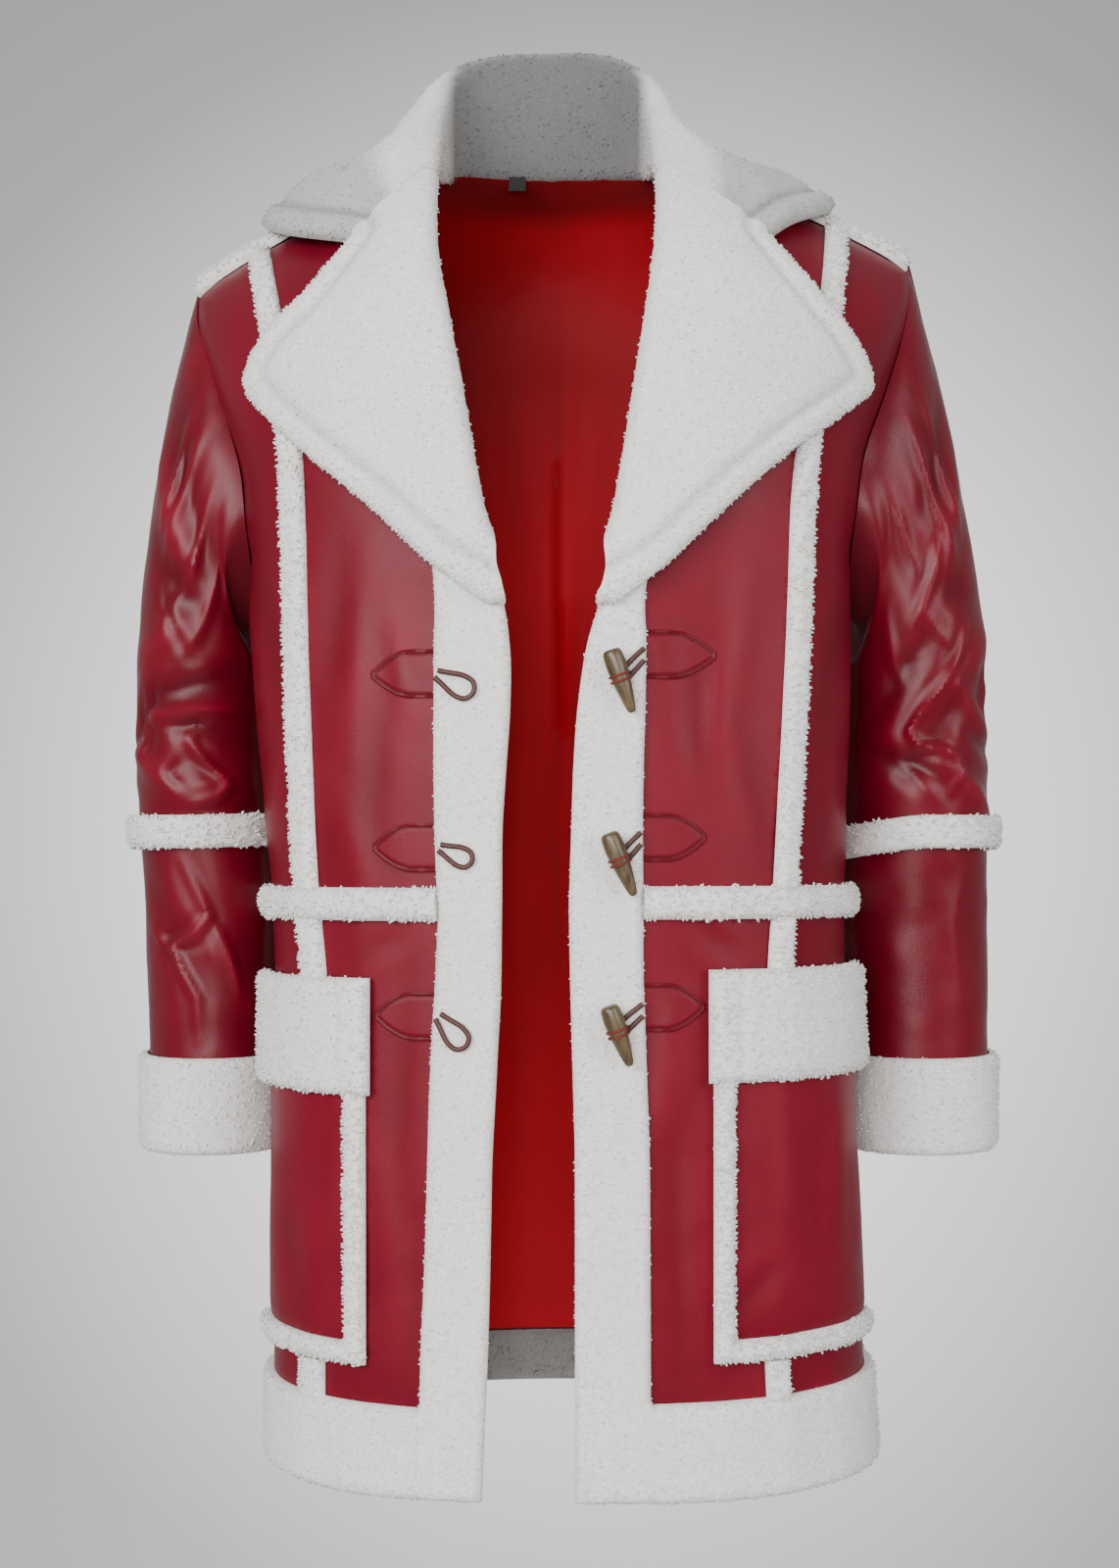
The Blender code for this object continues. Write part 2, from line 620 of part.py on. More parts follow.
def make_body(fronts, back, collection):
    waist, top = level(WAIST), len(LEVELS) + YOKE_ROWS - 1
    band = level(WAIST_FOOT), level(WAIST_TOP)
    hem = 0, level(HEM_TOP)
    for side, surface in fronts.items():
        which = SIDE_NAMES[side]
        body_sheet(f"front_{which}_lower", surface, (0, waist), (EDGE, SIDE), 0, LEATHER, "red_leather",
                   collection, inward=True)
        body_sheet(f"front_{which}_upper", surface, (waist, top), (EDGE, SIDE), 0, LEATHER,
                   "red_leather", collection, inward=True, top_inset=SHOULDER_INSET)
        make_placket(f"placket_{which}", surface, collection)
        body_sheet(f"hem_front_{which}", surface, hem, (SEAM, SIDE), SEAM_GAP, FLEECE,
                   "white_shearling", collection, bevel=BEVEL, inset=TRIM_INSET)
        body_sheet(f"waist_front_{which}", surface, band, (SEAM, SIDE), SEAM_GAP, FLEECE_EDGE,
                   "white_shearling", collection, bevel=BEVEL, inset=TRIM_INSET)
        body_sheet(f"strip_{which}_upper", surface, (band[1], top - 1), (STRIP_IN, STRIP_OUT), SEAM_GAP,
                   STRIP_THICK, "white_shearling", collection, bevel=NARROW_BEVEL,
                   top_inset=STRIP_TOP_INSET)
        body_sheet(f"strip_{which}_lower", surface, (level(FLAP_TOP), band[0]), (STRIP_IN, STRIP_OUT),
                   SEAM_GAP, STRIP_THICK, "white_shearling", collection, bevel=NARROW_BEVEL)
        body_sheet(f"strip_{which}_foot", surface, (hem[1], level(POCKET_FOOT)), (STRIP_IN, STRIP_OUT),
                   SEAM_GAP, STRIP_THICK, "white_shearling", collection, bevel=NARROW_BEVEL)
    last = BACK_COLUMNS
    body_sheet("back_lower", back, (0, waist), (0, last), 0, LEATHER, "red_leather", collection,
               inward=True)
    body_sheet("back_upper", back, (waist, top), (0, last), 0, LEATHER, "red_leather", collection,
               inward=True, top_inset=SHOULDER_INSET)
    body_sheet("hem_back", back, hem, (0, last), SEAM_GAP, FLEECE, "white_shearling", collection,
               bevel=BEVEL, inset=TRIM_INSET)
    body_sheet("waist_back", back, band, (0, last), SEAM_GAP, FLEECE_EDGE, "white_shearling", collection,
               bevel=BEVEL, inset=TRIM_INSET)


def make_placket(name, surface, collection):
    """Shearling down the front edge, from the hem to a little way up under the lapel."""
    top = level(UNDERARM) + 1
    points = surface.patch(0, top, EDGE, SEAM, SEAM_GAP, -PANEL_INSET)
    points[-1] = points[-2] + (points[-1] - points[-2]) * PLACKET_REACH
    sheet(name, facing_out(points, surface.out[top // 2, EDGE]), FLEECE, "white_shearling", collection,
          bevel=BEVEL)


def make_inside(back, collection):
    """Back lining down to the facing, and the facing inside the hem."""
    top = len(LEVELS) + YOKE_ROWS - 1
    hem_rows = back.patch(0, level(HEM_TOP), 0, BACK_COLUMNS, -LEATHER - SEAM_GAP)
    share = (FACING_TOP - HEM[0]) / (hem_rows[-1, 0, 2] - hem_rows[0, 0, 2])
    upper = hem_rows[0] + (hem_rows[-1] - hem_rows[0]) * (share - FACING_APART)
    facing = np.stack([hem_rows[0], (hem_rows[0] + upper) / 2, upper])
    sheet("hem_facing_back", facing_out(facing, (0, 1, 0)), FACING_THICK, "white_shearling", collection,
          inward=True)
    body = back.patch(level(HEM_TOP), top, 0, BACK_COLUMNS, -LINING_DEPTH, *LINING_INSET)
    below = level(UNDERARM) - level(HEM_TOP)
    body = np.concatenate([body[:below:2], body[below:]])
    foot = hem_rows[0] + (hem_rows[-1] - hem_rows[0]) * (share + FACING_APART)
    lining = np.concatenate([foot[None], body])
    sheet("lining_back", facing_out(lining, (0, 1, 0)), LINING, "red_lining", collection, inward=True)


def make_pockets(fronts, collection):
    foot, bag, flap = level(POCKET_FOOT), level(BAG_FOOT), level(FLAP_FOOT)
    top = level(FLAP_TOP)
    back_edge = SIDE - 1
    for side, surface in fronts.items():
        which = SIDE_NAMES[side]
        body_sheet(f"pocket_bag_{which}", surface, (bag, top), (BAG, back_edge), SEAM_GAP, LEATHER,
                   "red_leather", collection, inset=BAG_INSET)
        rim = pocket_rim(surface, foot, bag, flap, back_edge)
        sheet(f"pocket_trim_{which}", facing_out(rim, surface.out[bag, BAG]), FLEECE, "white_shearling",
              collection, bevel=BEVEL)
        body_sheet(f"pocket_flap_{which}", surface, (flap, top), (POCKET, back_edge), FLAP_LIFT,
                   FLAP_THICK, "white_shearling", collection, bevel=BEVEL, inset=0.0)


def pocket_rim(surface, foot, bag, flap, back_edge):
    """L-shaped trim: the inner line runs down and back along the bag's edge, the outer one round the
    pocket's corner. Its upper end is drawn in a little from the flap's edge."""
    lifted = surface.points + surface.out * RIM_LIFT
    rows, columns = range(flap, bag, -1), range(BAG + 1, back_edge + 1)
    inner = [lifted[r, BAG] for r in rows] + [lifted[bag, BAG]] + [lifted[bag, c] for c in columns]
    outer = [lifted[r, POCKET] for r in rows] + [lifted[foot, POCKET]] + [lifted[foot, c] for c in columns]
    rim = np.array([inner, outer])
    rim[:, 0] += (rim[:, 1] - rim[:, 0]) * RIM_END
    return rim


def make_patches(fronts, collection):
    """Bullet-shaped leather patches with their straight end on the placket's seam."""
    for side, surface in fronts.items():
        which = SIDE_NAMES[side]
        for number, heights in enumerate(PATCH_HEIGHTS):
            z = pick(heights, side)
            start = column(PLACKET_SEAM[side], z) + TRIM_INSET
            length = PATCH_LENGTH[side][number]
            grid = []
            for across in PATCH_ACROSS:
                row = []
                for share in np.linspace(0.0, 1.0, PATCH_STEPS + 1):
                    narrowing = (max(0.0, share - PATCH_STRAIGHT) / (1 - PATCH_STRAIGHT)) ** PATCH_CURVE
                    half = PATCH_HALF * (1 - narrowing * PATCH_TIP)
                    x = side * (start + length * share)
                    row.append(surface.place(x, z + across * half, PATCH_LIFT))
                grid.append(row)
            points = np.array(grid)
            sheet(f"toggle_patch_{which}_{number + 1}", facing_out(points, (0, -1, 0)), PATCH_THICK,
                  "red_leather", collection)


# ---- Sleeves ----

def fold_lift(side, degrees, z):
    """Height of the sleeve's folds at an angle and a height."""
    total = 0.0
    for fold_side, angle, height, rise, reach, thick, depth in SLEEVE_FOLDS:
        if fold_side != side:
            continue
        turn = (degrees - angle + 180) % 360 - 180
        if abs(turn) < reach:
            away = (z - height - rise * turn) / thick
            total += depth * math.cos(math.pi / 2 * turn / reach) ** 2 * math.exp(-away * away)
    return total


def armhole_ring(side, front, back):
    """Points round the armhole from the shoulder down the front to the underarm and up the back."""
    low = len(LEVELS) - 1
    edge = SIDE
    column_number = 0 if side < 0 else BACK_COLUMNS
    fore = [front.points[r, edge] for r in range(front.points.shape[0] - 1, low - 1, -1)]
    aft = [back.points[r, column_number] for r in range(low + 1, back.points.shape[0] - 1)]
    return np.array(fore + aft)


def ring_angles(count):
    """Angles of the ring's points: 0 at the shoulder, 90 at the front, 180 at the underarm."""
    return np.arange(count) * 360.0 / count


def sleeve_section(side, z, angles, lean=0.0):
    """Superellipse at height z, its inner side lower than its outer side by lean."""
    table = np.array(SLEEVE_ROWS)[::-1]
    heights = table[:, 0]
    first = 1 if side < 0 else 3
    middle = np.interp(z, heights, table[:, first])
    across = np.interp(z, heights, table[:, first + 1])
    middle_y = np.interp(z, heights, table[:, 5])
    deep = np.interp(z, heights, table[:, 6])
    found = []
    for degrees in angles:
        c, s = math.cos(math.radians(degrees)), math.sin(math.radians(degrees))
        lift = fold_lift(side, degrees if degrees < 180 else degrees - 360, z)
        outward = math.copysign(abs(c) ** (2 / SLEEVE_POWER), c)
        forward = math.copysign(abs(s) ** (2 / SLEEVE_POWER), s)
        inner = max(0.0, -c)
        found.append((side * (middle + (across + lift * (1 - inner)) * outward),
                      middle_y - (deep + lift) * forward, z - lean * inner))
    return np.array(found)


def make_sleeves(fronts, back, collection):
    for side, front in fronts.items():
        which = SIDE_NAMES[side]
        loop = armhole_ring(side, front, back)
        angles = ring_angles(len(loop))
        radians = np.radians(angles)
        start = loop.copy()
        start[:, 0] += side * ARMHOLE_GAP
        biceps = sleeve_section(side, SLEEVE_ROWS[0][0], angles)
        turn = np.stack([np.ones(len(loop)), np.cos(radians), np.maximum(0, np.cos(radians)),
                         np.sin(radians)], axis=1)
        leave = turn @ np.array(CAP_LEAVE) * (side, 1, 1)
        arrive = turn @ np.array(CAP_ARRIVE) * (side, 1, 1)
        rings = []
        for i in range(CAP_RINGS):
            t = i / CAP_RINGS
            ring = ((2 * t ** 3 - 3 * t ** 2 + 1) * start + (t ** 3 - 2 * t ** 2 + t) * leave
                    + (3 * t ** 2 - 2 * t ** 3) * biceps + (t ** 3 - t ** 2) * arrive)
            if i > 1:
                lift = [fold_lift(side, a if a < 180 else a - 360, p[2]) for a, p in zip(angles, ring)]
                ring[:, 1] -= np.sin(radians) * lift
                ring[:, 0] += side * np.maximum(0, np.cos(radians)) * lift
            rings.append(ring)
        for z in np.linspace(SLEEVE_ROWS[0][0], ELBOW + SEAM_GAP / 2, UPPER_RINGS):
            rings.append(sleeve_section(side, z, angles))
        sleeve(f"sleeve_{which}_upper", rings, side, LEATHER, "red_leather", collection, inward=True)
        lower = [sleeve_section(side, z, angles)
                 for z in np.linspace(ELBOW - SEAM_GAP / 2, CUFF_FOOT + CUFF_OVER, LOWER_RINGS)]
        sleeve(f"sleeve_{which}_lower", lower, side, LEATHER, "red_leather", collection, inward=True)
        band = [grown(sleeve_section(side, ELBOW + step * ELBOW_HALF, angles), BAND_OUT)
                for step in (1, 0, -1)]
        sleeve(f"elbow_band_{which}", band, side, BAND_THICK, "white_shearling", collection, bevel=BEVEL)
        cuff = [grown(sleeve_section(side, z, angles), CUFF_OUT)
                for z in np.linspace(CUFF_TOP, CUFF_FOOT, 4)]
        sleeve(f"cuff_{which}", cuff, side, CUFF_THICK, "white_shearling", collection, bevel=BEVEL)


def grown(ring, by):
    """The ring moved out from its middle by a distance."""
    away = ring - ring.mean(axis=0)
    away[:, 2] = 0
    return ring + away / np.linalg.norm(away, axis=1, keepdims=True) * by


def sleeve(name, rings, side, thick, slot, collection, inward=False, bevel=0.0):
    points = np.array(rings)
    if side < 0:
        points = points[:, ::-1]
    return sheet(name, points, thick, slot, collection, closed=True, inward=inward, bevel=bevel)


# ---- Collar and lapels ----

def lapel_row(side, roll_x, roll_z, edge_x, edge_z):
    """One row of the lapel: round the roll, then over the chest to the outer edge. Near the break it
    lies flat over the placket instead of turning in round the front's edge."""
    roll = np.array((side * roll_x, 0.0, roll_z))
    edge = np.array((side * edge_x, 0.0, edge_z))
    width = np.linalg.norm(edge - roll)
    toward = (edge - roll) / width
    narrow = min(1.0, width / LAPEL_NARROW)
    flat = min(1.0, max(0.0, (LAPEL_FLAT_ABOVE - roll_z) / LAPEL_FLAT_OVER))
    places = []
    for beyond, lift, flat_beyond, flat_lift in LAPEL_TURN:
        beyond = beyond * (1 - flat) + flat_beyond * narrow * flat
        places.append((beyond, lift * (1 - flat) + flat_lift * flat))
    start = places[-1][0] + LAPEL_START * narrow
    for share in LAPEL_SHARES:
        swell = math.sin(math.pi * min(1.0, share * SWELL_REACH)) * min(1.0, width / SWELL_WIDTH)
        places.append((start + (width - start) * share, LAPEL_LIFT + LAPEL_SWELL * swell))
    row = []
    for beyond, lift in places:
        at = roll + toward * beyond
        row.append((at[0], depth_at(at[0], at[2], "front") - lift, at[2]))
    return row


def make_lapels(collection):
    """Both lapels, and the row where each meets the collar."""
    ends = {}
    for side, table in LAPEL_ROWS.items():
        smooth = catmull(table, 2)
        rows = np.array([lapel_row(side, *values) for values in smooth])
        ends[side] = rows[-1]
        if side < 0:
            rows = rows[:, ::-1]
        sheet(f"lapel_{SIDE_NAMES[side]}", rows, FLEECE_EDGE, "white_shearling", collection, bevel=BEVEL)
    return ends


def collar_station(side, *places):
    """Points of one station, from the neck seam over the roll and the fall to the outer edge."""
    found = catmull([(side * x, y, z) for x, y, z in places], COLLAR_STEPS)
    found[:, 2] += COLLAR_TILT * found[:, 0]
    found[:, 0] += COLLAR_MIDDLE
    return found


def make_collar(ends, collection):
    right, left = ([collar_station(side, *row) for row in COLLAR_ROWS[side] + COLLAR_BACK_ROWS]
                   for side in (-1, 1))
    stations = [ends[-1]] + right + left[-2::-1] + [ends[1]]
    rows = catmull(np.array(stations).reshape(len(stations), -1), COLLAR_BETWEEN)
    rows = rows.reshape(len(rows), -1, 3)
    for end, near in ((0, 1), (-1, -2)):
        step = rows[near] - rows[end]
        rows[end] += step * (COLLAR_GAP / np.linalg.norm(step, axis=1, keepdims=True))
    sheet("collar", rows[:, ::-1], FLEECE_EDGE, "white_shearling", collection, bevel=BEVEL,
          even=False)


def make_shoulder_strips(collection):
    """A strip of shearling over each shoulder seam, from the collar's edge to the armhole."""
    for side in (-1, 1):
        rows = []
        for half, drop in SHOULDER_DROPS:
            row = []
            for out in np.linspace(*SHOULDER_REACH):
                x = SHOULDER_MIDDLE + side * out
                z = shoulder_line(x) - drop
                row.append((x, depth_at(x, z, half), z + SHOULDER_LIFT))
            rows.append(row)
        points = np.array(rows)
        sheet(f"shoulder_strip_{SIDE_NAMES[side]}", facing_out(points, (0, 0, 1)), FLEECE,
              "white_shearling", collection, bevel=NARROW_BEVEL)


# ---- Fastenings ----

def make_loops(front, collection):
    for number, (start, tip) in enumerate(LOOPS):
        along = Vector((tip[0] - start[0], tip[1] - start[1]))
        side = Vector((-along.y, along.x)).normalized()
        route = []
        for share, out in LOOP_SHAPE:
            at = Vector(start) + along * share + side * out * along.length
            route.append(front.place(at.x, at.y, THONG_LIFT))
        thong(f"loop_right_{number + 1}", route, collection)


def make_toggles(front, collection):
    for number, (fat, thin) in enumerate(TOGGLES):
        a = Vector(front.place(fat[0], fat[1], TOGGLE_LIFT))
        b = Vector(front.place(thin[0], thin[1], TOGGLE_LIFT - TOGGLE_TIP))
        profile = bpy.data.meshes.new(f"toggle_{number + 1}")
        shape = bmesh.new()
        length = (b - a).length
        steps = len(TOGGLE_RADIUS) - 1
        places = [(0.0, 0.0)] + [(r, -length * i / steps) for i, r in enumerate(TOGGLE_RADIUS)]
        places.append((0.0, -length))
        verts = [shape.verts.new((r, 0.0, z)) for r, z in places]
        for low, high in zip(verts, verts[1:]):
            shape.edges.new((low, high))
        shape.to_mesh(profile)
        shape.free()
        made = add_object(f"toggle_{number + 1}", profile, "horn", collection)
        turn = made.modifiers.new("turn", "SCREW")
        turn.steps = turn.render_steps = TOGGLE_SIDES
        turn.use_merge_vertices = True
        turn.merge_threshold = MERGE
        turn.use_normal_calculate = True
        made.location = a
        made.rotation_euler = (a - b).to_track_quat("Z", "Y").to_euler()
        held = (a + b) / 2 + (a - b) * TOGGLE_HOLD
        height = pick(PATCH_HEIGHTS[number], 1)
        exit_x = column(PLACKET_SEAM[1], height) - TOGGLE_EXIT
        half_x, half_z = (exit_x + held.x) / 2, (height + held.z) / 2
        up, over, down, under = THONG_SPREAD
        behind = [(held.x + x, held.y + TOGGLE_BEHIND, held.z + z) for x, z in TOGGLE_TURN]
        there = [front.place(x, z, THONG_LIFT) for x, z in ((exit_x, height + up), (half_x, half_z + over))]
        back = [front.place(x, z, THONG_LIFT) for x, z in ((half_x, half_z - under), (exit_x, height - down))]
        thong(f"toggle_thong_{number + 1}", there + behind + back, collection)


def make_tab(collection):
    left, right, low, high = NECK_TAB
    rows = [[(x, TAB_BACK, z) for x in (left, right)] for z in (low, high)]
    sheet("neck_tab", facing_out(np.array(rows), (0, -1, 0)), LINING, "black_tab", collection)


def build():
    for old in list(bpy.data.objects):
        bpy.data.objects.remove(old, do_unlink=True)
    collection = bpy.data.collections.new("leather_coat")
    bpy.context.scene.collection.children.link(collection)
    fronts = {side: Surface(front_grid(side)) for side in (-1, 1)}
    back = Surface(back_grid())
    make_body(fronts, back, collection)
    make_inside(back, collection)
    make_pockets(fronts, collection)
    make_patches(fronts, collection)
    make_sleeves(fronts, back, collection)
    ends = make_lapels(collection)
    make_collar(ends, collection)
    make_shoulder_strips(collection)
    make_loops(fronts[-1], collection)
    make_toggles(fronts[1], collection)
    make_tab(collection)


build()
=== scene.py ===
import math

import bpy
import numpy as np
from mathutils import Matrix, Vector


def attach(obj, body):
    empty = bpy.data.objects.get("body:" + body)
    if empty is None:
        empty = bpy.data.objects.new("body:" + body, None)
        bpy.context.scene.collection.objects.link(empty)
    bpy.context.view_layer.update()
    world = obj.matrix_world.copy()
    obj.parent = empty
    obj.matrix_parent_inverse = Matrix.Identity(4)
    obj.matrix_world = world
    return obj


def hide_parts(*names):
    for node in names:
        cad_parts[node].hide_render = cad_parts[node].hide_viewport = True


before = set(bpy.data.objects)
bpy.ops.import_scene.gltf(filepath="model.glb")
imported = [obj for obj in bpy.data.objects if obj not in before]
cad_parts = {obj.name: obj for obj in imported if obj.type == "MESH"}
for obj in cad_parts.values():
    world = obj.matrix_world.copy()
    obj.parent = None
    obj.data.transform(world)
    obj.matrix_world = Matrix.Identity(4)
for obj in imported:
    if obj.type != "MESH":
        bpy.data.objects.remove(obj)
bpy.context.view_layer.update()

# The coat's cut in metres, with the same names and sizes as the CAD part. -1 is the wearer's right (-X)
coat = {
    "sideY": -0.02, "shoulderY": 0.01,
    "depth": {"front": -0.143, "back": 0.153},
    "power": {"front": 2.5, "back": 2.3},
    "shoulderRound": {"front": 0.20, "back": 0.12},
    "body": (  # z, half width, middle x
        (-0.877, 0.2060, 0.0085), (-0.770, 0.2030, 0.0055), (-0.680, 0.2005, 0.0040),
        (-0.540, 0.1970, 0.0005), (-0.480, 0.1985, -0.0010), (-0.400, 0.2040, -0.0040),
        (-0.310, 0.2080, -0.0060), (-0.250, 0.2100, -0.0063), (-0.200, 0.2170, -0.0060),
        (-0.154, 0.2330, -0.0055), (-0.102, 0.2490, -0.0050), (-0.050, 0.2540, -0.0050),
        (0.030, 0.2560, -0.0095)),
    "levels": (  # row, z on the right, z on the left: hem, hem top, pocket foot, bag foot, flap foot,
        (0, -0.877, -0.877), (2, -0.820, -0.816), (3, -0.797, -0.793), (4, -0.781, -0.777),
        (8, -0.622, -0.613), (10, -0.555, -0.543),  # flap top, waist foot, waist, waist top, underarm
        (11, -0.511, -0.510), (12, -0.501, -0.500), (13, -0.491, -0.490), (18, -0.300, -0.296)),
    "shoulderTip": {-1: -0.064, 1: -0.046}, "neckSide": (0.083, 0.020), "neckPeak": 0.045,
    "neckBack": 0.030, "yokeRows": 7, "backColumns": 12, "stripHalf": 0.009, "trimWidth": 0.015,
    "pocketEdge": {-1: 0.1215, 1: 0.0955},
    "frontEdge": {
        -1: ((-0.877, 0.0500), (-0.768, 0.0456), (-0.6615, 0.0434), (-0.549, 0.0377), (-0.450, 0.0370),
             (-0.366, 0.0317), (-0.312, 0.0335), (-0.285, 0.0460), (-0.260, 0.0560), (-0.226, 0.0620),
             (-0.1675, 0.0722), (-0.120, 0.0807), (-0.068, 0.0892), (-0.010, 0.0916), (0.020, 0.0925)),
        1: ((-0.877, 0.0111), (-0.6615, 0.0111), (-0.549, 0.0080), (-0.502, 0.0072), (-0.4145, 0.0099),
            (-0.357, 0.0142), (-0.323, 0.0214), (-0.310, 0.0240), (-0.285, 0.0360), (-0.260, 0.0435),
            (-0.226, 0.0485), (-0.1675, 0.0570), (-0.120, 0.0645), (-0.068, 0.0715), (-0.010, 0.0740),
            (0.020, 0.0735))},
    "placketSeam": {
        -1: ((-0.877, 0.0900), (-0.783, 0.0875), (-0.722, 0.0844), (-0.612, 0.0816), (-0.512, 0.0764),
             (-0.437, 0.0790), (-0.300, 0.0790)),
        1: ((-0.877, 0.0580), (-0.6615, 0.0567), (-0.549, 0.0530), (-0.432, 0.0522), (-0.380, 0.0539),
            (-0.300, 0.0548))},
    "stripMiddle": {
        -1: ((-0.877, 0.160), (-0.552, 0.158), (-0.479, 0.165), (-0.354, 0.1693), (-0.239, 0.172),
             (-0.200, 0.174), (-0.117, 0.1895), (-0.041, 0.209)),
        1: ((-0.877, 0.142), (-0.788, 0.1387), (-0.540, 0.1412), (-0.480, 0.1454), (-0.325, 0.1534),
            (-0.211, 0.158), (-0.097, 0.1795), (-0.037, 0.190))},
    "armhole": (  # share of the way up from the underarm, angle on the front, angle on the back
        (0.00, 98.0, 82.0), (0.06, 87.0, 74.0), (0.16, 81.0, 68.0), (0.32, 77.5, 65.0),
        (0.52, 76.5, 66.0), (0.74, 78.5, 70.0), (0.90, 83.5, 78.0), (1.00, 90.0, 90.0)),
}
sideName = {-1: "right", 1: "left"}
leatherThick = 0.002
gap = 0.0003


# Numbers and grids

def lookUp(table, z, value=1):
    # Straight lines between the table's rows, whose first number is the height
    columns = np.array(table).T
    return np.interp(z, columns[0], columns[value])


def noise(points, size, seed):
    # Random numbers on a lattice of that size, blended smoothly between the eight corners: -1 to 1
    scaled = points / size
    cell = np.floor(scaled).astype(np.int64)
    t = scaled - cell
    t = t * t * (3 - 2 * t)
    total = np.zeros(points.shape[:-1])
    for corner in np.ndindex(2, 2, 2):
        c = cell + np.array(corner)
        mixed = (c[..., 0] * 73856093) ^ (c[..., 1] * 19349663) ^ (c[..., 2] * 83492791) ^ (seed * 2654435)
        mixed = ((mixed ^ (mixed >> 13)) * 1274126177) & 0xFFFFFFFF
        mixed = (mixed ^ (mixed >> 15)) & 0xFFFF
        total += np.prod(np.where(corner, t, 1 - t), axis=-1) * mixed / 65535
    return total * 2 - 1


def smoothAlong(grid, places, axis):
    # Catmull-Rom curve through the grid's rows (axis 0) or columns (axis 1), read at fractional places
    grid = np.moveaxis(np.asarray(grid, float), axis, 0)
    first = np.clip(np.floor(places).astype(int), 0, len(grid) - 2)
    t = (places - first).reshape(-1, *[1] * (grid.ndim - 1))
    padded = np.concatenate([2 * grid[:1] - grid[1:2], grid, 2 * grid[-1:] - grid[-2:-1]])
    a, b, c, d = padded[first], padded[first + 1], padded[first + 2], padded[first + 3]
    found = 0.5 * (2 * b + (c - a) * t + (2 * a - 5 * b + 4 * c - d) * t ** 2
                   + (3 * b - a - 3 * c + d) * t ** 3)
    return np.moveaxis(found, 0, axis)


def arc(grid, axis):
    # Distance run along an axis of the grid, from its start
    step = np.linalg.norm(np.diff(grid, axis=axis), axis=-1)
    return np.concatenate([np.zeros_like(np.take(step, [0], axis)), np.cumsum(step, axis)], axis)


def evenPlaces(grid, low, high, step, axis):
    # Fractional places from low to high, about evenly step metres apart along the grid's middle line
    fine = np.linspace(low, high, 400)
    line = smoothAlong(grid, fine, axis)
    line = np.take(line, line.shape[1 - axis] // 2, 1 - axis)
    run = arc(line, 0)
    count = max(2, int(round(run[-1] / step)))
    return np.interp(np.linspace(0, run[-1], count + 1), run, fine)


def dense(grid, rows, columns, step):
    # The part of a control grid between two rows and two columns, read at about even steps
    up = evenPlaces(grid, rows[0], rows[1], step, 0)
    across = evenPlaces(grid, columns[0], columns[1], step, 1)
    return smoothAlong(smoothAlong(grid, up, 0), across, 1), up, across


def unitNormals(grid, wrap=False):
    # Across times up, from the differences to the neighbouring points, made one long
    if wrap:
        across = np.roll(grid, -1, 1) - np.roll(grid, 1, 1)
    else:
        across = np.gradient(grid, axis=1)
    found = np.cross(across, np.gradient(grid, axis=0))
    return found / np.maximum(np.linalg.norm(found, axis=-1, keepdims=True), 1e-12)


def rounded(distance, radius):
    # 0 at an edge, rising as a quarter circle to 1 at the radius
    share = np.clip(distance / radius, 0, 1)
    return np.sqrt(np.maximum(0, 1 - (1 - share) ** 2))


def lineDistance(grid, line):
    # Distance from every point of the grid to the nearest point of a line, read at three per step
    fine = smoothAlong(line, np.linspace(0, len(line) - 1, 3 * len(line)), 0)
    return np.min([np.linalg.norm(grid - point, axis=-1) for point in fine], axis=0)


def edgeDistance(grid, edges="lrbt"):
    # Distance to the nearest of the named edges: l and r are the first and last column, b and t rows
    lines = {"l": grid[:, 0], "r": grid[:, -1], "b": grid[0], "t": grid[-1]}
    return np.min([lineDistance(grid, lines[e]) for e in edges], axis=0)


def softFolds(p, q, table):
    # Each row is one fold: p, q, half length, turn from upright in degrees, half width, bow, depth.
    # Across it runs as a bell with a lower ridge beside it, along it fades out to both ends
    total = np.zeros(np.shape(p))
    for p0, q0, halfLength, turn, halfWidth, bow, depth in table:
        s, c = math.sin(math.radians(turn)), math.cos(math.radians(turn))
        along = ((p - p0) * s + (q - q0) * c) / halfLength
        across = (p - p0) * c - (q - q0) * s - bow * along ** 2
        fade = np.clip(1 - along ** 2, 0, 1) ** 1.5
        bell = np.exp(-(across / halfWidth) ** 2)
        beside = np.exp(-((np.abs(across) - 1.7 * halfWidth) / halfWidth) ** 2)
        total += depth * fade * (bell - 0.4 * beside)
    return total


# The body's surface

def bodySection(z):
    # Half width and middle of the body at height z
    return lookUp(coat["body"], z, 1), lookUp(coat["body"], z, 2)


def shoulderLine(x):
    # Height of the shoulder over x: a peak at the neck, then straight down to the shoulder tip
    out = np.abs(x + 0.005)
    inner, height = coat["neckSide"]
    right = np.interp(out, (0, inner, 0.25), (coat["neckPeak"], height, coat["shoulderTip"][-1]))
    left = np.interp(out, (0, inner, 0.25), (coat["neckPeak"], height, coat["shoulderTip"][1]))
    return np.where(x < -0.005, right, left)


def depthAt(x, z, half):
    # Half superellipse at height z, drawn in to the shoulder line by a quarter circle near the top
    width, middle = bodySection(z)
    power = coat["power"][half]
    share = np.minimum(1, np.abs(x - middle) / width)
    flat = coat["sideY"] + coat["depth"][half] * (1 - share ** power) ** (1 / power)
    drop = np.maximum(0, shoulderLine(x) - z) / coat["shoulderRound"][half]
    near = np.sqrt(np.maximum(0, 1 - np.maximum(0, 1 - drop) ** 2))
    return coat["shoulderY"] + (flat - coat["shoulderY"]) * near


def armholeAngle(side, z, half):
    # Angle of the armhole at height z, from its share of the way between underarm and shoulder tip
    low, high = coat["levels"][-1][1 if side < 0 else 2], coat["shoulderTip"][side]
    return lookUp(coat["armhole"], np.clip((z - low) / (high - low), 0, 1), 1 if half == "front" else 2)


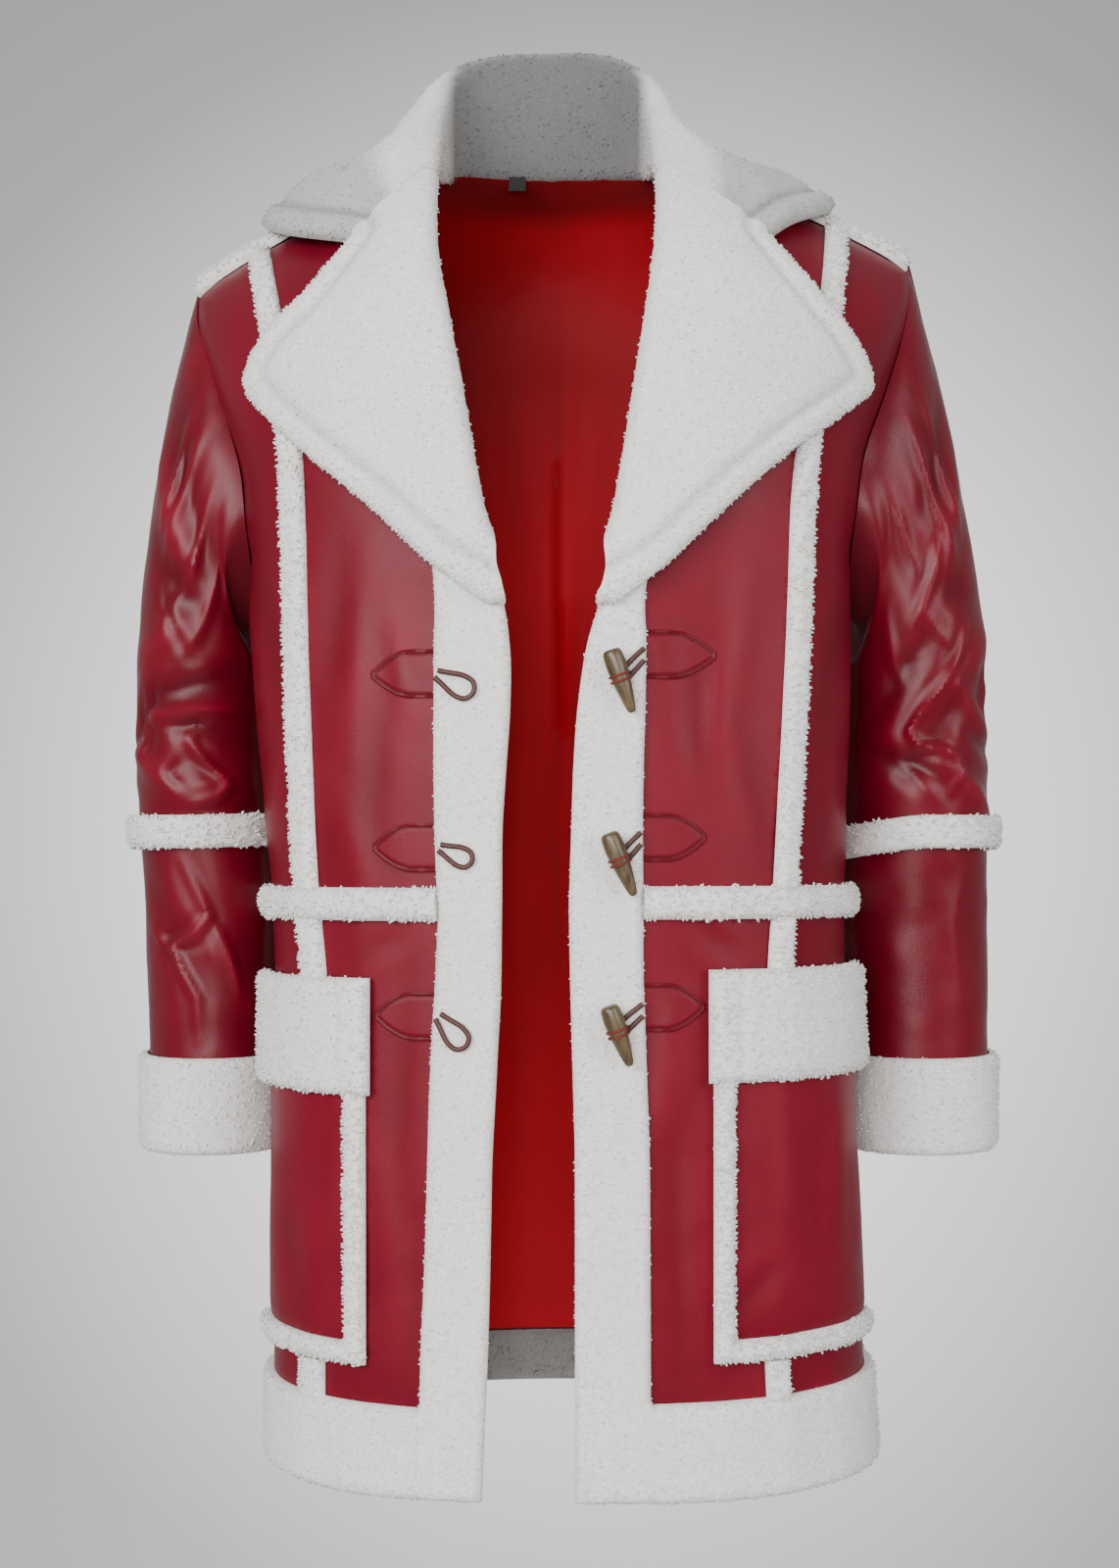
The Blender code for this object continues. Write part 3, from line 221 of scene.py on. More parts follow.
def frontGridAt(side, z):
    # Columns 0 to 5 by their distance from the middle, 6 to 8 by even angles on to the side seam
    edge, seam = lookUp(coat["frontEdge"][side], z), lookUp(coat["placketSeam"][side], z)
    strip = lookUp(coat["stripMiddle"][side], z)
    inner, outer = strip - coat["stripHalf"], strip + coat["stripHalf"]
    pocket = np.full_like(z, coat["pocketEdge"][side])
    lines = (edge, seam, pocket, pocket + coat["trimWidth"], inner, outer)
    above = np.clip((z + 0.30) / 0.06, 0, 1)
    x = np.zeros_like(z)
    for n, line in enumerate(lines):
        share = above[:, n] if n < 4 else 0
        x[:, n] = side * (line[:, n] * (1 - share) + (edge + (inner - edge) * n / 4)[:, n] * share)
    width, middle = bodySection(z)
    power = coat["power"]["front"]
    start = np.degrees(np.arcsin(np.clip(side * (side * outer - middle) / width, 0, 1) ** (power / 2)))
    angle = start + (armholeAngle(side, z, "front") - start) * (np.arange(9) - 5) / 3
    y = depthAt(x, z, "front")
    round_ = np.minimum(angle, 180 - angle)
    onFront = middle + side * width * np.abs(np.sin(np.radians(round_))) ** (2 / power)
    onBack = middle + side * width * np.abs(np.sin(np.radians(round_))) ** (2 / coat["power"]["back"])
    turned = np.where(angle > 90, onBack, onFront)
    depth = np.where(angle > 90, depthAt(onBack, z, "back"), depthAt(onFront, z, "front"))
    x[:, 6:], y[:, 6:] = turned[:, 6:], depth[:, 6:]
    return np.stack([x, y, z], axis=-1)


def backGridAt(z):
    # Columns at even angles from one side seam round the back to the other
    share = 2 * np.arange(coat["backColumns"] + 1) / coat["backColumns"] - 1
    width, middle = bodySection(z)
    angle = np.where(share < 0, armholeAngle(-1, z, "back"), armholeAngle(1, z, "back")) * np.abs(share)
    x = middle + np.sign(share) * width * np.abs(np.sin(np.radians(angle))) ** (2 / coat["power"]["back"])
    return np.stack([x, depthAt(x, z, "back"), z], axis=-1)


def controlGrid(which):
    # Rows from the hem to the underarm at the named heights, then closer rows up to the shoulder line
    rows, right, left = np.array(coat["levels"]).T
    upTo = np.arange(19)
    right, left = np.interp(upTo, rows, right), np.interp(upTo, rows, left)
    if which == "back":
        share = np.arange(coat["backColumns"] + 1) / coat["backColumns"]
        z = right[:, None] * (1 - share) + left[:, None] * share
        gridAt = backGridAt
    else:
        z = np.repeat((right if which < 0 else left)[:, None], 9, 1)
        gridAt = lambda heights: frontGridAt(which, heights)
    top = z[-1:].copy()
    for _ in range(30):
        x = gridAt(top)[..., 0]
        top = shoulderLine(x)
        if which == "back":
            top = np.minimum(coat["neckBack"] - 0.13 * np.abs(x + 0.005), top)
    shares = 1 - (1 - np.arange(1, coat["yokeRows"] + 1) / coat["yokeRows"]) ** 1.5
    z = np.concatenate([z, z[-1:] + (top - z[-1:]) * shares[:, None]])
    return gridAt(z)


grids = {-1: controlGrid(-1), 1: controlGrid(1), "back": controlGrid("back")}
print("surfaces worked out", {k: v.shape for k, v in grids.items()})


# Meshes

pieces = {}


def quadIndex(rows, columns, wrap=False):
    # Corners of the faces between neighbouring grid points, turned so that across times up looks out
    r, c = np.meshgrid(np.arange(rows - 1), np.arange(columns if wrap else columns - 1), indexing="ij")
    d = (c + 1) % columns
    return np.stack([r * columns + c, r * columns + d, (r + 1) * columns + d, (r + 1) * columns + c],
                    axis=-1).reshape(-1, 4)


def addMesh(name, points, faces, material, attributes=None, uv=None, sharp=40):
    # One mesh from arrays of points and of faces with three or four corners each
    mesh = bpy.data.meshes.new(name)
    points = np.asarray(points, np.float32).reshape(-1, 3)
    groups = [np.asarray(f, np.int32) for f in (faces if isinstance(faces, list) else [faces])]
    corners = np.concatenate([g.ravel() for g in groups])
    sizes = np.concatenate([np.full(len(g), g.shape[1], np.int32) for g in groups])
    mesh.vertices.add(len(points))
    mesh.vertices.foreach_set("co", points.ravel())
    mesh.loops.add(len(corners))
    mesh.loops.foreach_set("vertex_index", corners)
    mesh.polygons.add(len(sizes))
    mesh.polygons.foreach_set("loop_start", np.concatenate([[0], np.cumsum(sizes)[:-1]]).astype(np.int32))
    mesh.polygons.foreach_set("loop_total", sizes)
    mesh.update(calc_edges=True)
    if uv is not None:
        layer = mesh.uv_layers.new(name="cloth")
        layer.data.foreach_set("uv", np.asarray(uv, np.float32).reshape(-1, 2)[corners].ravel())
    for key, values in (attributes or {}).items():
        mesh.attributes.new(key, "FLOAT", "POINT").data.foreach_set(
            "value", np.asarray(values, np.float32).ravel())
    mesh.validate()
    mesh.shade_smooth()
    if sharp:
        mesh.set_sharp_from_angle(angle=math.radians(sharp))
    made = bpy.data.objects.new(name, mesh)
    bpy.context.scene.collection.objects.link(made)
    mesh.materials.append(material)
    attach(made, "root")
    pieces[name] = made
    return made


def closedSheet(name, outer, inner, material, wrap=False, attributes=None, sharp=40):
    # The outer grid, the inner grid turned round, and a strip of faces along every open border
    rows, columns = outer.shape[:2]
    count = rows * columns
    face = quadIndex(rows, columns, wrap)
    faces = [face, face[:, ::-1] + count]
    number = np.arange(count).reshape(rows, columns)
    across = [number[0], number[-1][::-1]]
    if wrap:
        across = [np.append(number[0], number[0, 0]), np.append(number[-1], number[-1, 0])[::-1]]
    borders = across if wrap else across + [number[:, -1], number[:, 0][::-1]]
    for line in borders:
        faces.append(np.stack([line[1:], line[:-1], line[:-1] + count, line[1:] + count], axis=1))
    along, up = arc(outer, 1), arc(outer, 0)
    uv = np.stack([along, up], axis=-1)
    both = {k: np.concatenate([np.ravel(v)] * 2) for k, v in (attributes or {}).items()}
    return addMesh(name, np.concatenate([outer.reshape(-1, 3), inner.reshape(-1, 3)]), np.concatenate(faces),
                   material, both, np.concatenate([uv.reshape(-1, 2)] * 2), sharp)


def facing(grid, towards, *fields):
    # The grid with its columns in the order that makes across times up look along towards
    flipped = (unitNormals(grid) * towards).sum(-1).mean() < 0
    every = (grid, *fields)
    return [v[:, ::-1] for v in every] if flipped else list(every)


def flatSize(grid, wrap=False):
    # Longest row, longest column and the area of the grid: the size of the cut
    across = arc(np.concatenate([grid, grid[:, :1]], 1) if wrap else grid, 1)[:, -1].max()
    up = arc(grid, 0)[-1].max()
    a, b = np.diff(grid, axis=0)[:, :-1], np.diff(grid, axis=1)[:-1]
    area = np.linalg.norm(np.cross(a, b), axis=-1).sum()
    if wrap:
        area *= grid.shape[1] / (grid.shape[1] - 1)
    return (float(across), float(up)), float(min(area, across * up))


def cloth(piece, grid, node, wrap=False):
    # Hides the CAD node or nodes that a sheet stands for, and works out its flat size, which nothing uses
    flat, area = flatSize(grid, wrap)
    for n in [node] if isinstance(node, str) else node:
        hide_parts(n)
    return piece


tuftBases = {}


def keepForPile(group, grid, normals, weight, inside=0.0):
    # The outer side of a shearling piece and its painted shade (inside), kept so that tufts can be set on it
    # later
    tuftBases.setdefault(group, []).append((grid, normals, weight, inside))


def fleece(name, base, towards, thick, group, lumps=0.0004, lumpSize=0.0045, radius=None, edges="lrbt",
           lift=gap, grooves=None, weight=1.0, seed=1, edgePile=2.0, nearTo=None, shade=None):
    # A slab of pile on a base grid: the outer side stands off by the thickness, falls as a quarter
    # circle to the free edges, and carries lumps of the given size
    base, = facing(base, towards)
    normal = unitNormals(base)
    near = nearTo(base) if nearTo else edgeDistance(base, edges)
    radius = radius or thick
    # inside is an amount of painted shade, given by the shade function, 0 without it
    inside = shade(base) if shade else 0 * near
    height = thick * (0.25 + 0.75 * rounded(near, radius))
    bumpy = noise(base, lumpSize, seed) + 0.6 * noise(base, lumpSize * 0.5, seed + 7)
    height = height + lumps * bumpy * rounded(near, radius * 0.6)
    if grooves is not None:
        height = height + grooves(base, near)
    outer = base + normal * (lift + height[..., None])
    inner = base + normal * lift
    made = closedSheet(name, outer, inner, materials["shearling"], False, {"inside": inside}, 60)
    thickness = np.clip(1 - near / (2 * radius), 0, 1)
    keepForPile(group, outer, unitNormals(outer), weight * (1 + edgePile * thickness), inside)
    return made, base


def leatherPanel(name, base, towards, lift, thick, material, folds=None, wrap=False, sharp=40):
    # A thin shell on the base grid, moved out by the folds' heights
    base, = facing(base, towards)
    normal = unitNormals(base, wrap)
    height = folds(base) if folds else np.zeros(base.shape[:2])
    outer = base + normal * (lift + height[..., None])
    inner = outer - unitNormals(outer, wrap) * thick
    # fold carries the heights, which the leather paints as shade in the troughs
    made = closedSheet(name, outer, inner, material, wrap, {"fold": height * 200}, sharp)
    return made, base


def pile(group, count, length, width, seed, lean=0.6):
    # Tufts on the kept surfaces: each is a bent three-sided cone with a ring at its root, one half way
    # and a tip. Places fall by area and weight, directions are the normal with a random lean
    rng = np.random.default_rng(seed)
    corners, chance, shades = [], [], []
    for grid, normals, weight, inside in tuftBases[group]:
        weight = np.broadcast_to(weight, grid.shape[:2])
        shades.append(np.broadcast_to(inside, grid.shape[:2])[:-1, :-1].ravel())
        a, b, c, d = grid[:-1, :-1], grid[:-1, 1:], grid[1:, 1:], grid[1:, :-1]
        area = np.linalg.norm(np.cross(c - a, d - b), axis=-1) / 2
        chance.append((area * weight[:-1, :-1]).ravel())
        corners.append(np.stack([np.stack([p[:-1, :-1], p[:-1, 1:], p[1:, 1:], p[1:, :-1]], -2)
                                 for p in (grid, normals)], -3).reshape(-1, 2, 4, 3))
    chance, corners = np.concatenate(chance), np.concatenate(corners)
    pick = rng.choice(len(chance), count, p=chance / chance.sum())
    u, v = rng.random((2, count, 1, 1))
    four = corners[pick]
    at = (four[:, :, 0] * (1 - u) * (1 - v) + four[:, :, 1] * u * (1 - v)
          + four[:, :, 2] * u * v + four[:, :, 3] * (1 - u) * v)
    root, out = at[:, 0], at[:, 1] / np.linalg.norm(at[:, 1], axis=-1, keepdims=True)
    clump = np.stack([noise(root, 0.005, seed + k) for k in range(3)], -1) * 1.3
    direction = out + lean * (clump + rng.normal(0, 0.35, (count, 3)))
    direction /= np.linalg.norm(direction, axis=1, keepdims=True)
    side = np.cross(direction, rng.normal(size=(count, 3)))
    side /= np.linalg.norm(side, axis=1, keepdims=True)
    other = np.cross(direction, side)
    size = rng.uniform(0.6, 1.25, (count, 1))
    curl = side * (length * rng.uniform(-0.35, 0.35, (count, 1)))
    angle = np.radians([0, 120, 240])
    ring = (side[:, None] * np.cos(angle)[None, :, None] + other[:, None] * np.sin(angle)[None, :, None])
    start = (root - out * length * 0.3)[:, None] + ring * (width / 2 * size)[:, None]
    middle = (root + direction * length * 0.45 * size + curl)[:, None] + ring * (width * 0.46 * size)[:, None]
    tip = (root + direction * length * 0.85 * size + curl * 0.3)[:, None]
    points = np.concatenate([start, middle, tip], 1)
    face = np.array([(0, 1, 4), (0, 4, 3), (1, 2, 5), (1, 5, 4), (2, 0, 3), (2, 3, 5),
                     (3, 4, 6), (4, 5, 6), (5, 3, 6), (0, 2, 1)])
    faces = (np.arange(count)[:, None, None] * 7 + face[None]).reshape(-1, 3)
    # Each tuft takes the painted shade (inside) of the cell it stands on
    made = addMesh("pile" + group, points, faces, materials["shearling"],
                   {"inside": np.repeat(np.concatenate(shades)[pick], 7)}, None, 0)
    return made


# Finishes

def socket(group, name, kind, way="INPUT", value=None):
    # A named input or output of a node group, with its value
    made = group.interface.new_socket(name=name, in_out=way, socket_type=kind)
    if value is not None:
        made.default_value = value
    return made


def mapRange(nodes, links, source, low, high, toLow, toHigh):
    # The source moved in a straight line from low..high to toLow..toHigh, clamped
    node = nodes.new("ShaderNodeMapRange")
    for index, value in ((1, low), (2, high), (3, toLow), (4, toHigh)):
        node.inputs[index].default_value = value
    links.new(source, node.inputs[0])
    return node.outputs[0]


def mathNode(nodes, links, operation, a, b):
    # One math node whose inputs are sockets or plain numbers
    node = nodes.new("ShaderNodeMath")
    node.operation = operation
    for index, value in enumerate((a, b)):
        if isinstance(value, (int, float)):
            node.inputs[index].default_value = value
        else:
            links.new(value, node.inputs[index])
    return node.outputs[0]


def noiseNode(nodes, links, vector, scale, detail=2, rough=0.5, distort=0.0):
    # Noise over the vector, read as one number
    node = nodes.new("ShaderNodeTexNoise")
    node.inputs["Scale"].default_value = scale
    node.inputs["Detail"].default_value = detail
    node.inputs["Roughness"].default_value = rough
    node.inputs["Distortion"].default_value = distort
    links.new(vector, node.inputs["Vector"])
    return node.outputs[0]


def mixColour(nodes, links, factor, a, b, blend="MIX"):
    # Two colours or sockets mixed by the factor
    node = nodes.new("ShaderNodeMix")
    node.data_type = "RGBA"
    node.blend_type = blend
    for index, value in ((0, factor), (6, a), (7, b)):
        if isinstance(value, (int, float)):
            node.inputs[index].default_value = value
        elif isinstance(value, tuple):
            node.inputs[index].default_value = (*value, 1)
        else:
            links.new(value, node.inputs[index])
    return node.outputs[2]


def grainGroup():
    # Leather grain: small closed cells with thin valleys, pores of several sizes and slow mottling
    group = bpy.data.node_groups.new("leatherGrain", "ShaderNodeTree")
    socket(group, "Place", "NodeSocketVector")
    socket(group, "Cells", "NodeSocketFloat", value=700)
    socket(group, "Height", "NodeSocketFloat", "OUTPUT")
    socket(group, "Mottling", "NodeSocketFloat", "OUTPUT")
    nodes, links = group.nodes, group.links
    start, end = nodes.new("NodeGroupInput"), nodes.new("NodeGroupOutput")
    cells = nodes.new("ShaderNodeTexVoronoi")
    cells.feature = "DISTANCE_TO_EDGE"
    links.new(start.outputs["Place"], cells.inputs["Vector"])
    links.new(start.outputs["Cells"], cells.inputs["Scale"])
    valley = mapRange(nodes, links, cells.outputs[0], 0.0, 0.16, 0.0, 1.0)
    pores = noiseNode(nodes, links, start.outputs["Place"], 1500, 3, 0.6)
    slow = noiseNode(nodes, links, start.outputs["Place"], 28, 3, 0.55)
    links.new(mathNode(nodes, links, "ADD", mathNode(nodes, links, "MULTIPLY", valley, 0.6), pores),
              end.inputs["Height"])
    links.new(slow, end.inputs["Mottling"])
    return group


def pileGroup():
    # Shearling: curls a few millimetres across, fine fibres on them, and hollows between the curls
    group = bpy.data.node_groups.new("shearlingPile", "ShaderNodeTree")
    socket(group, "Place", "NodeSocketVector")
    socket(group, "Curls", "NodeSocketFloat", value=260)
    socket(group, "Height", "NodeSocketFloat", "OUTPUT")
    socket(group, "Hollow", "NodeSocketFloat", "OUTPUT")
    nodes, links = group.nodes, group.links
    start, end = nodes.new("NodeGroupInput"), nodes.new("NodeGroupOutput")
    curls = nodes.new("ShaderNodeTexVoronoi")
    curls.feature = "SMOOTH_F1"
    curls.inputs["Smoothness"].default_value = 0.6
    bent = nodes.new("ShaderNodeVectorMath")
    bent.operation = "ADD"
    wobble = noiseNode(nodes, links, start.outputs["Place"], 190, 2)
    scaled = mathNode(nodes, links, "MULTIPLY", wobble, 0.006)
    links.new(start.outputs["Place"], bent.inputs[0])
    links.new(scaled, bent.inputs[1])
    links.new(bent.outputs[0], curls.inputs["Vector"])
    links.new(start.outputs["Curls"], curls.inputs["Scale"])
    fibres = noiseNode(nodes, links, start.outputs["Place"], 1500, 3, 0.7)
    round_ = mathNode(nodes, links, "SUBTRACT", 1.0, curls.outputs["Distance"])
    links.new(mathNode(nodes, links, "ADD", round_, fibres), end.inputs["Height"])
    # Hollow is low between the curls, where the shearling material paints shade
    links.new(mapRange(nodes, links, round_, 0.25, 0.75, 0.0, 1.0), end.inputs["Hollow"])
    return group


groupsMade = {"grain": grainGroup(), "pile": pileGroup()}


def newMaterial(name, roughness, **constants):
    # A Principled material with constants on its sockets, and the place in object space
    made = bpy.data.materials.new(name)
    made.use_nodes = True
    shader = made.node_tree.nodes["Principled BSDF"]
    shader.inputs["Roughness"].default_value = roughness
    for key, value in constants.items():
        shader.inputs[key.replace("_", " ")].default_value = value
    place = made.node_tree.nodes.new("ShaderNodeTexCoord").outputs["Object"]
    return made, made.node_tree.nodes, made.node_tree.links, shader, place


def effect(nodes, links, place, key, **values):
    # One of the shared groups, fed with the place and with values for its inputs
    node = nodes.new("ShaderNodeGroup")
    node.node_tree = groupsMade[key]
    links.new(place, node.inputs["Place"])
    for name, value in values.items():
        node.inputs[name].default_value = value
    return node.outputs


def bumpTo(nodes, links, shader, height, strength, distance):
    # Relief from a height, given to the shader
    bump = nodes.new("ShaderNodeBump")
    bump.inputs["Strength"].default_value = strength
    bump.inputs["Distance"].default_value = distance
    links.new(height, bump.inputs["Height"])
    links.new(bump.outputs[0], shader.inputs["Normal"])
    return bump


# mid is the leather's lit colour; it goes towards dark through painted shade in the folds' troughs and
# through the slow mottles of its own tone
leatherLook = {
    "body": dict(mid=(0.180, 0.0036, 0.0165), dark=(0.095, 0.0015, 0.0070), roughness=(0.34, 0.44),
                 specular=0.18),
    "sleeve": dict(mid=(0.185, 0.0036, 0.0160), dark=(0.055, 0.0009, 0.0038), roughness=(0.26, 0.35),
                   specular=0.25),
}


def leatherMaterial(name):
    # Crimson leather: darker by painted shade in the folds' troughs and by its own tone in slow mottles, a
    # fine closed grain, dull where hidden is 1
    look = leatherLook[name]
    made, nodes, links, shader, place = newMaterial(
        "redLeather" + name.capitalize(), 0.4, Specular_IOR_Level=look["specular"])
    out = effect(nodes, links, place, "grain", Cells=750)
    fold = nodes.new("ShaderNodeAttribute")
    fold.attribute_name = "fold"
    # Painted shade: the troughs of the fold attribute take the dark colour
    depth = mapRange(nodes, links, fold.outputs["Fac"], -0.6, 0.3, 0.0, 1.0)
    slow = mapRange(nodes, links, out["Mottling"], 0.3, 0.7, 0.72, 1.0)
    share = mathNode(nodes, links, "MULTIPLY", depth, slow)
    links.new(mixColour(nodes, links, share, look["dark"], look["mid"]), shader.inputs["Base Color"])
    low, high = look["roughness"]
    hidden = nodes.new("ShaderNodeAttribute")
    hidden.attribute_name = "hidden"
    rough = mapRange(nodes, links, out["Mottling"], 0.3, 0.7, low, high)
    dull = mapRange(nodes, links, hidden.outputs["Fac"], 0, 1, 0, 0.95)
    links.new(mathNode(nodes, links, "MAXIMUM", rough, dull), shader.inputs["Roughness"])
    bumpTo(nodes, links, shader, out["Height"], 0.16, 0.0004)
    return made


def shearlingMaterial():
    # White pile: painted shade makes it slightly grey and warm in the hollows between curls, and greyer where
    # inside, an amount of painted shade, is above 0
    made, nodes, links, shader, place = newMaterial(
        "whiteShearling", 0.95, Sheen_Weight=0.25, Sheen_Roughness=0.6, Specular_IOR_Level=0.12)
    out = effect(nodes, links, place, "pile", Curls=420)
    slow = noiseNode(nodes, links, place, 22, 3)
    white = mixColour(nodes, links, mapRange(nodes, links, slow, 0.3, 0.7, 0, 1), (0.83, 0.815, 0.785),
                      (0.88, 0.875, 0.86))
    # Painted shade: greyer and warmer where Hollow is low, between the curls
    curled = mixColour(nodes, links, out["Hollow"], (0.74, 0.725, 0.695), white)
    inside = nodes.new("ShaderNodeAttribute")
    inside.attribute_name = "inside"
    # Painted shade: the colour goes towards black by up to 0.82 times inside
    share = mapRange(nodes, links, inside.outputs["Fac"], 0, 1, 0, 0.82)
    links.new(mixColour(nodes, links, share, curled, (0.0, 0.0, 0.0)), shader.inputs["Base Color"])
    bumpTo(nodes, links, shader, out["Height"], 0.5, 0.0011)
    return made


def liningMaterial():
    # Satin: fine upright threads on the piece's own flat map, darker by painted shade in the folds' troughs
    # and where shade is above 0
    made, nodes, links, shader, place = newMaterial(
        "redSatin", 0.60, Sheen_Weight=0.05, Sheen_Roughness=0.4, Specular_IOR_Level=0.14)
    flat = nodes.new("ShaderNodeUVMap")
    flat.uv_map = "cloth"
    stretch = nodes.new("ShaderNodeMapping")
    stretch.inputs["Scale"].default_value = (2600, 180, 1)
    links.new(flat.outputs[0], stretch.inputs["Vector"])
    threads = noiseNode(nodes, links, stretch.outputs[0], 1.0, 1)
    slow = noiseNode(nodes, links, place, 16, 3)
    fold = nodes.new("ShaderNodeAttribute")
    fold.attribute_name = "fold"
    depth = mapRange(nodes, links, fold.outputs["Fac"], -0.7, 0.4, 0.0, 1.0)
    share = mathNode(nodes, links, "MULTIPLY", depth, mapRange(nodes, links, slow, 0.3, 0.7, 0.8, 1.0))
    shade = nodes.new("ShaderNodeAttribute")
    shade.attribute_name = "shade"
    lit = mixColour(nodes, links, share, (0.545, 0.0090, 0.021), (0.785, 0.0120, 0.030))
    links.new(mixColour(nodes, links, shade.outputs["Fac"], lit, (0.100, 0.0028, 0.0050)),
              shader.inputs["Base Color"])
    bumpTo(nodes, links, shader, threads, 0.12, 0.0002)
    return made


def plainMaterial(name, dark, light, roughness, scale, bump, stretch=(1, 1, 1), **constants):
    # Two colours mixed by noise that may be stretched along an axis, and the same noise as relief
    made, nodes, links, shader, place = newMaterial(name, roughness, **constants)
    turned = nodes.new("ShaderNodeMapping")
    turned.inputs["Scale"].default_value = stretch
    links.new(place, turned.inputs["Vector"])
    value = noiseNode(nodes, links, turned.outputs[0], scale, 4, 0.6)
    share = mapRange(nodes, links, value, 0.32, 0.68, 0, 1)
    links.new(mixColour(nodes, links, share, dark, light), shader.inputs["Base Color"])
    links.new(mapRange(nodes, links, value, 0.3, 0.7, roughness * 0.8, min(1, roughness * 1.2)),
              shader.inputs["Roughness"])
    bumpTo(nodes, links, shader, value, bump, 0.0003)
    return made


materials = {
    "leather": leatherMaterial("body"), "sleeve": leatherMaterial("sleeve"),
    "shearling": shearlingMaterial(), "lining": liningMaterial(),
    "thong": plainMaterial("brownThong", (0.030, 0.007, 0.005), (0.090, 0.021, 0.013), 0.5, 900, 0.4),
    "cord": plainMaterial("redCord", (0.09, 0.005, 0.005), (0.20, 0.012, 0.010), 0.7, 1200, 0.5),
    "horn": plainMaterial("horn", (0.040, 0.022, 0.008), (0.130, 0.088, 0.034), 0.40, 170, 0.25,
                          (1, 1, 0.25), Coat_Weight=0.25, Coat_Roughness=0.25),
    "tab": plainMaterial("blackTab", (0.006, 0.006, 0.007), (0.02, 0.02, 0.021), 0.85, 1800, 0.5),
    "stitch": plainMaterial("redThread", (0.055, 0.002, 0.005), (0.11, 0.004, 0.009), 0.7, 2000, 0.4),
}
print("finishes made", sorted(materials))


# Body panels

def readAt(grid, rows, columns):
    # Catmull-Rom in both directions at paired fractional rows and columns
    def weights(t):
        return np.stack([-t + 2 * t ** 2 - t ** 3, 2 - 5 * t ** 2 + 3 * t ** 3,
                         t + 4 * t ** 2 - 3 * t ** 3, -t ** 2 + t ** 3], -1) / 2
    padded = np.concatenate([2 * grid[:1] - grid[1:2], grid, 2 * grid[-1:] - grid[-2:-1]])
    padded = np.concatenate([2 * padded[:, :1] - padded[:, 1:2], padded,
                             2 * padded[:, -1:] - padded[:, -2:-1]], 1)
    r = np.clip(np.floor(rows).astype(int), 0, grid.shape[0] - 2)
    c = np.clip(np.floor(columns).astype(int), 0, grid.shape[1] - 2)
    wr, wc = weights(rows - r), weights(columns - c)
    found = 0
    for i in range(4):
        for j in range(4):
            found = found + padded[r + i, c + j] * (wr[..., i] * wc[..., j])[..., None]
    return found


def part(which, rows, columns, step):
    # Part of the right, left or back grid between two rows and two columns
    return dense(grids[which], rows, columns, step)[0]


def pathFolds(p, q, table):
    # Each crease is a bent line of points with a half width and a height: a bell across the line's
    # distance with a lower trough beside it, thinning out to both ends
    total = np.zeros(np.shape(p))
    for line, halfWidth, depth in table:
        line = np.array(line, float)
        step = np.linalg.norm(np.diff(line, axis=0), axis=1)
        run = np.concatenate([[0], np.cumsum(step)])
        nearest, place = np.full(np.shape(p), 9.0), np.zeros(np.shape(p))
        for (a, b), length, start in zip(zip(line, line[1:]), step, run):
            t = np.clip(((p - a[0]) * (b - a)[0] + (q - a[1]) * (b - a)[1]) / length ** 2, 0, 1)
            away = np.hypot(p - a[0] - t * (b - a)[0], q - a[1] - t * (b - a)[1])
            closer = away < nearest
            nearest = np.where(closer, away, nearest)
            place = np.where(closer, start + t * length, place)
        fade = np.sin(np.pi * np.clip(place / run[-1] * 0.9 + 0.05, 0, 1)) ** 0.8
        bell = np.exp(-(nearest / halfWidth) ** 2)
        beside = np.exp(-((nearest - 2.4 * halfWidth) / (1.5 * halfWidth)) ** 2)
        total += depth * fade * (bell - 0.45 * beside)
    return total


